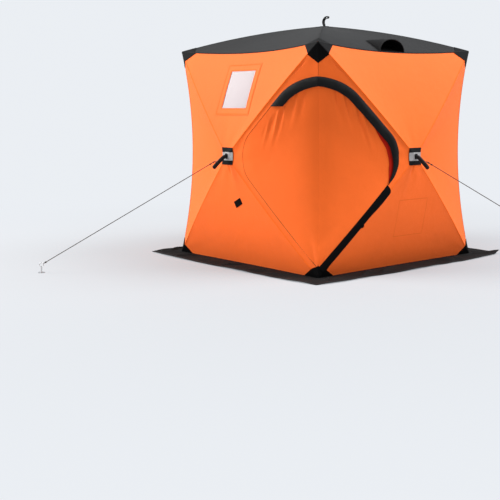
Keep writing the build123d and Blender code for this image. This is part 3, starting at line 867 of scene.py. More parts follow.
class HUT_OT_door_surround(bpy.types.Operator):
    """Make the strips of wall cloth between the rods' seams and the zip, beside the door"""
    bl_idname = "hut.door_surround"
    bl_label = "Door Surround"

    def execute(self, context):
        b, d = settings().body, settings().door
        half, reach, hub, first = b.side / 2, wall_reach(), hub_height(), b.hub_hole / b.side
        inner, strip_flat = zip_line(-d.gap / 2), (0.13, 2.5)
        slack, fold_depth, fold_at, fold_width = 0.0026, 0.007, 0.034, 0.013
        run, rows = runs(inner), len(inner) - 1
        middle = min(range(len(inner)), key=lambda k: inner[k].x)
        low, high = Vector((half, b.foot_height)), Vector((half, b.eave_height))
        tip_low = Vector((half * first, hub - reach * first))
        tip_high = Vector((half * first, hub + reach * first))

        def outer(k):
            if k <= middle:
                return low.lerp(tip_low, run[k] / run[middle])
            return tip_high.lerp(high, (run[k] - run[middle]) / (run[-1] - run[middle]))

        for turn, (wall, side) in enumerate(DOOR_SIDES):
            hand = -1 if turn else 1

            def place(s, t):
                k = round(t * rows)
                p = outer(k).lerp(inner[k], s)
                p.x = corner_x(p.y) if k in (0, rows) else min(p.x, corner_x(p.y))
                across, left = (inner[k] - outer(k)).length * s, run[-1] - run[k]
                hollow = slack * math.sin(math.pi * s) ** 2 * ramp(min(run[k], left), 0.05, 0.3)
                fold = fold_depth * math.exp(-((across - fold_at) / fold_width) ** 2)
                hollow += fold * ramp(left, 0.11, 0.15) * (1 - ramp(left, 0.17, 0.32))
                return wall_point(hand * p.x, p.y, 0, turn) - OUT * hollow

            ob = grid(f"{wall}_wall_{side}_cloth", 32, rows, place)
            cloth_piece(ob, "wall cloth", OUT, b.cloth, strip_flat, [f"{wall}_wall_{side}_panel"], turn)
        return {"FINISHED"}


def door_point(x, z, turn, below, reach):
    """A point of the door cloth, x from the wall's middle line. The folds hang under
    the arch, and the cloth goes softly round the corner. below is the depth under the
    zip, and reach is how far the zip is from the corner at this height."""
    b, d = settings().body, settings().door
    foot_pucker, foot_rays, slack_depth = 0.0035, 13, 0.008
    away = max(corner_x(z) - x, 0)
    hand = -1 if turn else 1
    point = wall_point(hand * x, z, 0, turn)
    q = -hand * away
    fade = ramp(below, 0.045, 0.09) * (0.35 + 0.65 * math.exp(-((below - 0.1) / 0.22) ** 2))
    fade *= (1 - ramp(below, 0.1, 0.35)) * (1 - ramp(away, 0.36, 0.5)) * ramp(away, 0.02, 0.14)
    fan = q * (1 + 1.5 * (0.35 - min(below, 0.35)))
    folds = (
        math.sin(2 * math.pi * fan / 0.118 + 0.7)
        + 0.4 * math.sin(2 * math.pi * fan / 0.074 + 2.1 * noise.noise((q * 3, z * 1.2, 2.0)))
        + 0.3 * math.sin(2 * math.pi * fan / 0.23 + 1.0)
    )
    edge = ramp(reach - away, 0.06, 0.12)
    point.y -= d.gather * fade * edge * (folds * 0.5 - 0.35)
    rise = z - b.foot_height
    foot = math.hypot(away, rise)
    if 0.08 < foot < 0.5:
        puckers = math.sin(foot_rays * math.atan2(rise, away + 0.02) + hand)
        near_foot = foot_pucker * ramp(foot, 0.1, 0.16) * (1 - ramp(foot, 0.2, 0.48))
        point.y -= near_foot * puckers * ramp(away, 0, 0.05)
    slack = noise.noise((q * 2.2, z * 0.8, 8.2)) * ramp(below, 0.1, 0.5) * ramp(reach - away, 0.02, 0.3)
    point.y -= slack_depth * slack * ramp(rise, 0.1, 0.4) * ramp(away, 0, 0.06)
    grown = min(max(z - 0.08, 0), 1)
    soft = d.corner_round * grown * (2 - grown) * mix(0.3, 1, ramp(below, 0.0, 0.4))
    across = away / ROOT2
    inward = (math.hypot(across, soft) - across) * 0.75
    inward *= ramp(reach - away, 0.0, 0.16) * ramp(below, -0.01, 0.05)
    return turned(point, turn) - DIAGONAL * inward


class HUT_OT_door(bpy.types.Operator):
    """Make the door: one cloth inside the zip that wraps round the corner"""
    bl_idname = "hut.door"
    bl_label = "Door"

    def execute(self, context):
        b, d = settings().body, settings().door
        columns, flat = 220, (1.46, 1.45)
        edge = zip_line(d.gap / 2, 0.011)
        rows = len(edge) - 1
        arch = sorted((p.x, p.y) for p in edge if p.y > hub_height())

        def arch_z(x):
            for (x0, z0), (x1, z1) in zip(arch, arch[1:]):
                if x <= x1:
                    return mix(z0, z1, (x - x0) / (x1 - x0)) if x1 > x0 else z1
            return arch[-1][1]

        def place(s, t):
            p, side = edge[round(t * rows)], 2 * s - 1
            x = mix(corner_x(p.y), p.x, abs(side))
            return door_point(x, p.y, int(side > 0), max(arch_z(x) - p.y, 0), corner_x(p.y) - p.x)

        def pattern(s, t):
            p = edge[round(t * rows)]
            return ((2 * s - 1) * (corner_x(p.y) - p.x), p.y)

        ob = merged(grid("door_cloth", columns, rows, place, pattern), 0.0004)
        cloth_piece(ob, "wall cloth", DIAGONAL, b.cloth, flat, ["door_panel"], smooth=60)
        return {"FINISHED"}


class HUT_OT_roof(bpy.types.Operator):
    """Make the four panels of the roof"""
    bl_idname = "hut.roof"
    bl_label = "Roof Cloth"

    def execute(self, context):
        b, o = settings().body, settings().openings
        half, first = b.side / 2, b.hub_hole / b.side
        eave = half - b.eave_in
        vent_at = eave - o.vent_from_eave - o.vent_hole_inward
        skylight_at = eave - o.skylight_from_eave - o.skylight_depth / 2
        holes = {"right": (vent_at, o.vent_hole_width, o.vent_hole_depth),
                 "back": (skylight_at, o.skylight_width, o.skylight_depth)}
        for turn, wall in enumerate(WALLS):
            def place(s, t):
                u, w = mix(first, 1, t), 2 * s - 1
                return roof_point(half * u * w, half * u - b.eave_in * u * (1 - w * w), 0, turn)

            ob = grid(f"{wall}_roof_cloth", *PANEL_CELLS, place, axes=(0, 1))
            if wall in holes:
                at, width, depth = holes[wall]
                cut_opening(ob, (RIGHT, OUT), (0, at), width, depth)
            cloth_piece(ob, "roof cloth", UP, b.cloth, (b.side, half), [f"{wall}_roof_panel"], turn)
        return {"FINISHED"}


# ---------------------------------------------------------------- operators: openings


def bordered(name, place, width, height, border, step=0.012):
    """A flat frame of cloth round a rectangular opening, placed by place(x, y)."""
    w, h = width + 2 * border, height + 2 * border
    ob = grid(name, round(w / step), round(h / step), lambda s, t: ((s - 0.5) * w, 0, (t - 0.5) * h))
    cut_opening(ob, (RIGHT, UP), (0, 0), width, height)
    for v in ob.data.vertices:
        v.co = place(v.co.x, v.co.z)
    return ob


class HUT_OT_windows(bpy.types.Operator):
    """Make the windows: film, sewn border and stitching"""
    bl_idname = "hut.windows"
    bl_label = "Windows"

    def execute(self, context):
        o = settings().openings
        w, h, f = o.window_width, o.window_height, o.window_frame
        lap, frame_lift, stitch_lift = 0.02, 0.0022, 0.0026
        panes, frames, rows = [], [], []
        for turn in (0, 2):
            def cloth(x, z, lift):
                return wall_point(x - o.window_aside, o.window_z + z, lift, turn)

            ob = grid("pane", 30, 30, lambda s, t: cloth(
                (s - 0.5) * (w + lap), (t - 0.5) * (h + lap), -FILM_THICK))
            panes.append(placed(ob, turn, OUT, FILM_THICK))
            ob = bordered("frame", lambda x, y: cloth(x, y, frame_lift), w, h, f)
            frames.append(placed(ob, turn, OUT, PATCH_THICK))
            loops = [rectangle(w + 2 * e, h + 2 * e) for e in (0.006, f - 0.006, f - 0.012)]
            ob = stitch_rows("rows", loops, lambda x, y, g: cloth(x, y, stitch_lift + g))
            rows.append(placed(ob, turn, OUT))
        ob = finish_piece(joined("window_film", panes), "window film", ["window_panes"])
        ob = finish_piece(joined("window_borders", frames), "wall cloth", ["window_frames"])
        finish_piece(joined("window_stitching", rows), "wall stitching")
        return {"FINISHED"}


class HUT_OT_skylight(bpy.types.Operator):
    """Make the skylight's film and its sewn border"""
    bl_idname = "hut.skylight"
    bl_label = "Skylight"

    def execute(self, context):
        b, o = settings().body, settings().openings
        at = b.side / 2 - b.eave_in - o.skylight_from_eave - o.skylight_depth / 2
        width, depth, lap = o.skylight_width, o.skylight_depth, 0.02
        border, border_thick, stitch_lift, turn = 0.03, 0.0018, 0.0022, WALLS.index("back")

        def cloth(x, y, lift):
            return roof_point(x, at + y, lift, turn)

        ob = grid("skylight_film", 30, 22, lambda s, t: cloth(
            (s - 0.5) * (width + lap), (t - 0.5) * (depth + lap), -FILM_THICK))
        cloth_piece(ob, "skylight film", UP, FILM_THICK, (width + lap, depth + lap), ["skylight"], turn)
        ob = bordered("skylight_border", lambda x, y: cloth(x, y, border_thick), width, depth, border)
        cloth_piece(ob, "roof cloth", UP, border_thick, flat=(2 * border, 0.62), turn=turn)
        loops = [rectangle(width + 2 * e, depth + 2 * e) for e in (0.005, 0.024)]
        ob = stitch_rows("skylight_stitching", loops, lambda x, y, g: cloth(x, y, stitch_lift + g))
        finish_piece(placed(ob, turn, UP), "roof seam")
        return {"FINISHED"}


class HUT_OT_vent(bpy.types.Operator):
    """Make the vent hood: a half-round mouth that tapers to a flat back"""
    bl_idname = "hut.vent"
    bl_label = "Vent Hood"

    def execute(self, context):
        b, o = settings().body, settings().openings
        mouth = b.side / 2 - b.eave_in - o.vent_from_eave
        turn, cells, arc, flat = WALLS.index("right"), (48, 34), 0.35, (0.34, o.vent_length + 0.02)
        hood_thick, hood_lift, wrinkle_height = 0.0028, 0.0012, 0.0016
        rim_radius, inner_gap = 0.0042, 0.0034
        hem_width, hem_out, hem_steps, back_steps, net_inset, net_lift = 0.012, 0.004, 24, 16, 0.006, 0.002

        def section(t, inset=0.0):
            """Half width, height and base reach of the hood at t, from mouth to back."""
            return (
                mix(o.vent_width, o.vent_back_width, t) / 2 - inset,
                mix(o.vent_height, o.vent_back_height, t) - inset,
                mouth - o.vent_length * t,
            )

        def place(s, t):
            half_width, height, reach = section(t)
            a = math.pi * s
            x = -half_width * math.cos(a)
            sag = 1 - 0.05 * math.sin(math.pi * t)
            wrinkle = wrinkle_height * math.sin(14 * s + 5 * t) * math.sin(math.pi * t)
            lift = (height * sag + wrinkle) * math.sin(a) ** 0.85 if 0 < s < 1 else 0
            base = mix(roof_height(x, reach, turn), roof_height(0, reach, turn), math.sin(a))
            return Vector((x, -reach, base + lift + hood_lift))

        ob = grid("vent_hood_cloth", *cells, place, metres(arc, o.vent_length))
        cloth_piece(ob, "cap cloth", UP, hood_thick, flat, ["roof_vent_hood"], turn, smooth=60)

        def rim(s, t):
            a, around = math.pi * s, 2 * math.pi * t
            radial = Vector((-math.cos(a), 0, math.sin(a)))
            return (place(s, 0) + radial * (rim_radius * math.cos(around) - 0.002)
                    + OUT * (rim_radius * math.sin(around) + 0.001))

        ob = grid("vent_hood_piping", 48, 12, rim, lambda s, t: (t * 0.026, s * arc))
        finish_piece(placed(merged(ob, 1e-5, close=True), turn), "roof seam", smooth=60)

        def inside(s, t):
            a = math.pi * s
            inward = Vector((-inner_gap * math.cos(a), 0, inner_gap * math.sin(a) - 0.0004))
            return place(s, t * 0.98 + 0.004) - inward

        ob = grid("vent_hood_lining", *cells, inside, metres(0.34, 0.22))
        cloth_piece(ob, "patch cloth", UP, TAPE_THICK, flat, turn=turn, smooth=60)

        def net(s, t):
            half_width, _, reach = section(t * 0.96 + 0.02, net_inset)
            return roof_point((2 * s - 1) * half_width, reach, net_lift, turn)

        ob = grid("vent_net", 32, 30, net, metres(0.25, 0.22))
        cloth_piece(ob, "net", UP, TAPE_THICK, flat=(0.25, o.vent_length), turn=turn)

        paths = []
        for sign in (-1, 1):
            sides = (section(i / hem_steps) for i in range(hem_steps + 1))
            paths.append([Vector((sign * (half_width + hem_out), reach)) for half_width, _, reach in sides])
        half_width, _, reach = section(1)
        paths.append([Vector((mix(-half_width, half_width, i / back_steps), reach - hem_out))
                      for i in range(back_steps + 1)])
        hem = [ribbon("hem", path, hem_width, lambda x, y, g: roof_point(x, y, 0.0004 + g, turn),
                      columns=4, rise=0.0016) for path in paths]
        finish_piece(placed(joined("vent_hood_hem", hem), turn, UP), "roof seam")
        return {"FINISHED"}


# ---------------------------------------------------------------- operators: seams, covers and patches


class HUT_OT_seams(bpy.types.Operator):
    """Make the felled seams over the rods, down the corners and round the eaves"""
    bl_idname = "hut.seams"
    bl_label = "Seams"

    def execute(self, context):
        b, d, t = settings().body, settings().door, settings().trim
        half, reach, hub = b.side / 2, wall_reach(), hub_height()
        steps, eave_steps, edge_steps, wall_lift, roof_lift, overlap = 74, 80, 60, 0.0002, 0.0003, 0.004
        wall_from, eave_end, foot_end, roof_from, roof_end = 0.074, 0.912, 0.94, 0.062, 0.905
        for turn, wall in enumerate(WALLS):
            bands = []
            for sx, sz in QUADRANTS:
                end = eave_end if sz > 0 else foot_end
                shares = (mix(wall_from, end, i / steps) for i in range(steps + 1))
                path = [Vector((sx * half * u, hub + sz * reach * u)) for u in shares]
                bands.append(ribbon("seam", path, t.seam_width, lambda x, z, g: wall_point(
                    x, z, wall_lift + g, turn), columns=4, rise=0.0009))
            finish_piece(placed(joined(wall + "_wall_seams", bands), turn, OUT), "wall seam")

        shares = [mix(roof_from, roof_end, i / steps) for i in range(steps + 1)]
        path = [Vector((half * u, half * u)) for u in shares]
        bands = []
        for turn in range(4):
            bands.append(placed(ribbon("seam", path, t.seam_width, lambda x, y, g: roof_point(
                x, y, roof_lift + g), columns=4, rise=0.0014), turn))
        finish_piece(placed(joined("roof_seams", bands), 0, UP), "roof seam")

        welts, edges = [], []
        for turn in range(4):
            low = b.foot_height + t.tall_boot_height - overlap
            high = b.eave_height - t.cap_drop + overlap
            if turn == 0:
                low, high = d.top + 0.01, b.eave_height - 0.158
            heights = (mix(low, high, i / edge_steps) for i in range(edge_steps + 1))
            path = [Vector((corner_x(z), -corner_x(z), z)) for z in heights]
            welts.append(placed(piping("welt", path, radius=0.003), turn))
        # The welts' darker orange is painted shade along the corner seams.
        finish_piece(joined("corner_welts", welts), "painted shade corner welt", smooth=70)
        for turn in range(4):
            places = (mix(-half, half, i / eave_steps) * 0.998 for i in range(eave_steps + 1))
            path = [wall_point(x, eave_z(x) - 0.0005, 0, turn) + Vector((0, -0.001, 0.001)) for x in places]
            edges.append(placed(piping("eave", path, radius=0.0042), turn))
        finish_piece(joined("eave_piping", edges), "roof seam", smooth=70)
        return {"FINISHED"}


def corner_point(x, z, lift, turn):
    """A point that far above the cloth beside the door's corner. On the corner itself
    it stands out along the diagonal, so a piece that goes round the corner is whole."""
    hand = -1 if turn else 1
    point = turned(wall_point(hand * x, z, 0, turn), turn)
    normal = turned(wall_normal(hand * x, z, turn), turn)
    bend = 1 - ramp(corner_x(z) - x, 0.0, 0.075)
    return point + normal.lerp(DIAGONAL, bend).normalized() * lift


def zip_band(name, line, keep, turn, width, lift, columns):
    """A band beside a door line, from its outer edge inwards, and its length. keep picks
    the points of the line, width(run, left) gives its width by the distance from its
    start and to its end, and lift(share, run, left) its height over the cloth."""
    kept = [(p, heading(line, i)) for i, p in enumerate(line) if keep(p)]
    run, last = runs([p for p, _ in kept]), len(kept) - 1

    def place(s, t):
        k = round(t * last)
        (p, along), left = kept[k], run[-1] - run[k]
        p = p + Vector((along.y, -along.x)) * s * width(run[k], left)
        return corner_point(min(p.x, corner_x(p.y)), p.y, lift(s, run[k], left), turn)

    def pattern(s, t):
        k = round(t * last)
        return (s * width(run[k], run[-1] - run[k]), run[k])

    return grid(name, columns, last, place, pattern), run[-1]


class HUT_OT_zip(bpy.types.Operator):
    """Make the zip tape, the covers over the zip, and a red strip of painted shade beside the right-hand
    cover
    """
    bl_idname = "hut.zip"
    bl_label = "Zip and Covers"

    def execute(self, context):
        b, d = settings().body, settings().door
        tape, tape_lift, shade_strip_lift, strip_lift = 0.02, -0.0026, 0.0021, 0.0018
        tapes = [zip_band("tape", zip_line(-tape / 2, 0.011), lambda p: True, turn,
                          lambda run, left: tape, lambda e, run, left: tape_lift, 4)[0] for turn in (0, 1)]
        ob = merged(joined("zip_tape", tapes), 0.002)
        finish_piece(placed(ob, 0, DIAGONAL, TAPE_THICK), "zip tape")

        outer = zip_line(-d.cover_lap, 0.008)

        def puffed(e, run, grown):
            """The padded cover is sewn down outside and hangs free inside."""
            sewn_lift, free_lift = 0.0016, 0.011
            dent = 0.86 + 0.35 * noise.noise((run * 7, e * 1.5, 1.0))
            arch = math.sin(math.pi * e ** 0.85) ** 0.8
            return sewn_lift + free_lift * e + d.cover_puff * grown * dent * arch

        def end_width(left):
            """The cover's width near its pointed end."""
            taper, bluntness, least = 0.3, 0.62, 0.03
            return d.cover_width * max(min(left / taper, 1.0) ** bluntness, least)

        def right_lift(e, run, left):
            return puffed(e, left, end_width(run) / d.cover_width)

        front, _ = zip_band("cover", outer, lambda p: p.y >= d.cover_start - 0.14, 0,
                            lambda run, left: d.cover_width,
                            lambda e, run, left: puffed(e, left, ramp(run, 0.02, 0.2)), 16)
        cut_below(front, d.cover_start)
        right, right_length = zip_band("cover", outer, lambda p: p.y >= d.cover_end, 1,
                                       lambda run, left: end_width(run), right_lift, 16)
        ob = merged(joined("upper_zip_cover_cloth", [front, right]), 0.002)
        cloth_piece(ob, "cover cloth", DIAGONAL, thick=0.0016, flat=(d.cover_width, right_length + 0.55),
                    replaces=["upper_zip_cover"], smooth=60)

        # A red strip on the door along the inner edge of the right-hand cover: painted shade for the
        # reddish shadow under the cover's free edge.
        def shade_strip_width(run, left):
            grown = math.sqrt(ramp(run, 0, 0.12) * ramp(left, 0, 0.2))
            return max(end_width(run + 0.03) - 0.014, 0.002) + 0.034 * grown

        ob, _ = zip_band("zip_painted_shade_strip", zip_line(0.006, 0.006),
                         lambda p: d.cover_end + 0.02 < p.y < 1.17, 1,
                         shade_strip_width, lambda e, run, left: shade_strip_lift, 6)
        cloth_piece(ob, "inner tape", RIGHT, TAPE_THICK, flat=(0.095, 0.5), smooth=60)

        inner = zip_line(0.004, 0.006)

        def strip_width(left):
            share = 1 - left / total
            width = d.strip_width + 0.014 * ramp(share, 0.62, 0.86) + 0.012 * (1 - ramp(share, 0, 0.1))
            width += 0.014 * (1 - ramp(abs(share - 0.55) * total, 0.01, 0.016))
            return width * math.sqrt(max(1 - (max(share - 0.955, 0) / 0.046) ** 2, 0.002))

        def keep(p):
            return b.foot_height + 0.06 <= p.y <= d.cover_end + 0.004 and p.x > 0.15

        total = sum((q - p).length for p, q in zip(inner, inner[1:]) if keep(p) and keep(q))

        def crown(e, run, left):
            return strip_lift + 0.005 * math.sin(math.pi * e) * ramp(left, 0, 0.05)

        ob, _ = zip_band("lower_zip_cover_cloth", inner, keep, 1, lambda run, left: -strip_width(left),
                         crown, 10)
        cloth_piece(ob, "patch cloth", RIGHT, thick=0.0014, flat=(d.strip_width + 0.008, total),
                    replaces=["lower_zip_cover"], smooth=60)
        return {"FINISHED"}


def wall_flap(along, up, top, seed, hand, lift=0.0038):
    """A triangle of cloth in a corner of the front wall, at its top or foot."""
    b = settings().body

    def place(s, t):
        """s runs from the corner edge inwards, t from the slanted edge to the corner."""
        k = 1 - t
        x = b.side / 2 - along * s * k
        if top:
            z = b.eave_height - up * (1 - s) * k - (b.eave_height - eave_z(x)) * s
        else:
            z = b.foot_height + up * (1 - s) * k
        x = min(mix(corner_x(z), x, min(s * k * 4, 1) if s else 0), corner_x(z))
        return wall_point(hand * x, z, lift, seed)

    return merged(grid("flap", *FLAP_CELLS, place), 0.0002)


def roof_flap(along, turn, lift=0.0038):
    """The part of a corner cap that lies on the roof, over the seam."""
    b = settings().body
    half = b.side / 2

    def place(s, t):
        x, y = half - along * s * (1 - t), half - along * (1 - s) * (1 - t)
        low = min(x, y)
        high = max(min(max(x, y), half - b.eave_in * (1 - (low / half) ** 2)), low)
        if y >= x:
            return roof_point(low, high, lift, turn)
        return turned(roof_point(-low, high, lift, (turn + 1) % 4), 1)

    return merged(grid("flap", *FLAP_CELLS, place, metres(along, along)), 0.0002)


def diamond_flap(turn):
    """One half of the black diamond over the door's top corner."""
    eave = settings().body.eave_height
    low, middle, top, wide, lift = eave - 0.161, eave - 0.093, eave - 0.002, 0.0775, 0.0046

    def place(s, t):
        z = mix(low, middle, t * 2) if t < 0.5 else mix(middle, top, t * 2 - 1)
        reach = wide * (t * 2 if t < 0.5 else 2 - t * 2)
        return corner_point(corner_x(z) - reach * s, z, lift, turn)

    return placed(merged(grid("diamond", 10, 24, place), 0.0002), 0, DIAGONAL, 0.0016)


class HUT_OT_patches(bpy.types.Operator):
    """Make the patches over the hubs, the corner caps and the boots"""
    bl_idname = "hut.patches"
    bl_label = "Patches, Caps and Boots"

    def execute(self, context):
        t, hub = settings().trim, hub_height()
        size, band, inset, cells = t.hub_patch, 0.066, 0.004, (24, 24)
        patch_lift, band_lift, apex_lift, tie_lift = 0.003, 0.0038, 0.0024, 0.0026
        squares, bands = [], []
        for turn in range(4):
            ob = patch("patch", cells, size, size, lambda x, z: wall_point(x, hub + z, patch_lift, turn))
            squares.append(placed(ob, turn, OUT, PATCH_THICK))
            ob = grid("band", 24, 12, lambda s, u: wall_point(
                (s - 0.5) * (size - inset), hub - 0.001 + (u - 0.5) * band, band_lift, turn),
                metres(size, band))
            bands.append(placed(ob, turn, OUT, thick=0.0007))
        ob = finish_piece(joined("hub_patch_cloth", squares), "cap cloth", ["hub_patches"])
        ob = finish_piece(joined("hub_reflective_bands", bands), "reflective")

        size = t.apex_patch
        ob = patch("apex_patch_cloth", cells, size, size, lambda x, y: roof_everywhere(x, y, apex_lift))
        cloth_piece(ob, "patch cloth", UP, PATCH_THICK, (size, size), ["apex_patch"])

        caps, boots = [], []
        for turn in range(4):
            for hand in (1, -1):
                ob = wall_flap(t.cap_reach, t.cap_drop, True, turn, hand)
                caps.append(placed(ob, turn, OUT, PATCH_THICK))
                beside_door = (turn, hand) in ((0, 1), (1, -1))
                rise = t.boot_height if beside_door else t.tall_boot_height
                ob = wall_flap(t.boot_reach, rise, False, turn, hand)
                boots.append(placed(ob, turn, OUT, PATCH_THICK))
            caps.append(placed(roof_flap(t.cap_reach, turn), turn, UP, PATCH_THICK))
        cloth_set("top_corner_cap_cloth", caps, "cap cloth", ["top_corner_caps"])
        cloth_set("foot_corner_boot_cloth", boots, "patch cloth", ["foot_corner_boots"])
        cloth_set("door_corner_diamond", [diamond_flap(turn) for turn in (0, 1)], "patch cloth")

        width, height, lean, (tie_x, tie_z) = 0.098, 0.052, math.radians(24), (0.075, 0.515)
        c, s = math.cos(lean), math.sin(lean)
        ob = patch("door_tieback_cloth", (12, 8), width, height, lambda x, z: wall_point(
            tie_x + x * c - z * s, tie_z + x * s + z * c, tie_lift))
        cloth_piece(ob, "patch cloth", OUT, PATCH_THICK, (width, height), ["door_tieback_patch"])

        loops = [rectangle(t.pocket_width, t.pocket_height, middle=(0.035, 0.396))]
        ob = stitch_rows("pocket_stitching", loops, lambda x, y, g: wall_point(x, y, 0.0005 + g, 1),
                         width=0.005)
        finish_piece(placed(ob, 1, OUT), "wall stitching")
        return {"FINISHED"}


class HUT_OT_skirt(bpy.types.Operator):
    """Make the skirt that lies on the ground all round"""
    bl_idname = "hut.skirt"
    bl_label = "Skirt"

    def execute(self, context):
        b, t = settings().body, settings().trim
        half, columns, strip_length, strip_width = b.side / 2, 190, 2.17, 0.225

        def lying(s, u, lift=0.0):
            """A point of the strip, u from the wall outwards. It lies in loose folds."""
            w = 2 * s - 1
            wave, small_wave, middle_spread, under_wall = 0.013, 0.004, 0.045, 0.006
            fold_height, ridge_height, corner_rise, lowest = 0.011, 0.018, 0.03, 0.0038
            waves = wave * noise.noise((w * 2.9 + 5 * turn, turn, 2.2))
            waves += small_wave * noise.noise((w * 9, turn, 6.1))
            spread = t.skirt_width + (middle_spread * (1 - w ** 4) + waves * (1 - w ** 8)) * ramp(u, 0, 1)
            reach = mix(half - under_wall, half + spread, u)
            x = w * reach
            fold = 0.5 + 0.5 * noise.noise((x * 2.7 + 11 * turn, u * 1.4, 4.2))
            fold += 0.35 * noise.noise((x * 8.0 + turn, u * 2.5, 9.7))
            ridge = abs(noise.noise((x * 3.3 + u * 0.9 + turn * 3, u * 0.8, 1.7)))
            rise = fold_height * max(fold, 0)
            rise += ridge_height * max(1 - ridge / 0.2, 0) ** 2 * (1 - ramp(u, 0.7, 1.0))
            rise *= ramp(u, 0.08, 0.6) * (1 - ramp(abs(w), 0.88, 1.0))
            if (turn, w > 0) in ((1, True), (2, False)):
                rise += corner_rise * ramp(abs(w), 0.9, 1.0) * ramp(u, 0.3, 1.0)
            y = reach - b.foot_in * (1 - w * w) * (1 - u)
            return Vector((x, -y, lowest + rise + lift))

        strips, hems = [], []
        for turn in range(4):
            strips.append(placed(grid("strip", columns, 20, lying, metres(2, 0.2)), turn))
            ob = grid("hem", columns, 2, lambda s, u: lying(s, mix(0.9, 0.985, u), 0.0008),
                      lambda s, u: ((u - 0.5) * 0.016, 2.1 * s))
            hems.append(placed(ob, turn, UP))
        ob = placed(merged(joined("ground_skirt_cloth", strips)), 0, UP, thick=0.0026)
        finish_piece(ob, "skirt cloth", ["ground_skirt"], smooth=60)
        finish_piece(joined("skirt_hem", hems), "black stitching")
        return {"FINISHED"}


# ---------------------------------------------------------------- operators: straps, ropes and fittings


def strap_band(name, path, across, width, thick, taper):
    """A strip of webbing along points, with rounded ends. across is the way that its
    width runs."""
    run, last = runs(path), len(path) - 1

    def place(s, t):
        k = round(t * last)
        end = min(run[k], run[-1] - run[k])
        w = width * math.sqrt(max(1 - (max(taper - end, 0) / taper) ** 2, 0.12))
        return path[k] + across * (s - 0.5) * w

    ob = grid(name, 8, last, place, lambda s, t: (s * width, run[round(t * last)]))
    apply(ob, "SOLIDIFY", thickness=thick, offset=0, use_even_offset=True)
    apply(ob, "BEVEL", width=thick * 0.28, segments=2, limit_method="ANGLE", angle_limit=math.radians(40))
    return ob


def knot(middle, along, radius):
    """A small overhand knot: three tight turns round a line."""
    side = along.orthogonal().normalized()
    other = along.cross(side)
    path, steps, turns = [], 60, 3
    for i in range(steps + 1):
        a = 2 * math.pi * turns * i / steps
        r = radius * (1.75 + 0.2 * math.sin(i * 0.21))
        aside = (side * math.cos(a) + other * math.sin(a)) * r
        path.append(middle + along * (i / steps - 0.5) * radius * 5 + aside)
    return piping("knot", path, radius * 1.02, 8)


def grip(name, path, half_width, half_thick):
    """A padded pull strap along points: a rounded bar with ridges across and a round end."""
    run, last = runs(path), len(path) - 1
    end_round, ridge, ridge_step, sides = 0.011, 0.045, 0.0085, 32

    def place(s, t):
        k = round(t * last)
        out = heading(path, k).cross(RIGHT).normalized()
        at, left = run[k], run[-1] - run[k]
        size = math.sqrt(max(1 - (max(end_round - left, 0) / 0.0112) ** 2, 0.001))
        size *= 0.72 + 0.28 * ramp(at, 0, 0.03)
        ridged = ramp(at, 0.02, 0.035) * ramp(left, 0.012, 0.02)
        size *= 1 + ridge * math.cos(2 * math.pi * at / ridge_step) * ridged
        c, n = math.cos(2 * math.pi * s), math.sin(2 * math.pi * s)
        round_c = math.copysign(abs(c) ** 0.7, c) * half_width
        round_n = math.copysign(abs(n) ** 0.7, n) * half_thick
        return path[k] + (RIGHT * round_c + out * round_n) * size

    ob = grid(name, sides, last, place, lambda s, t: (s * 0.075, run[round(t * last)]))
    return merged(ob, 1e-5, close=True)


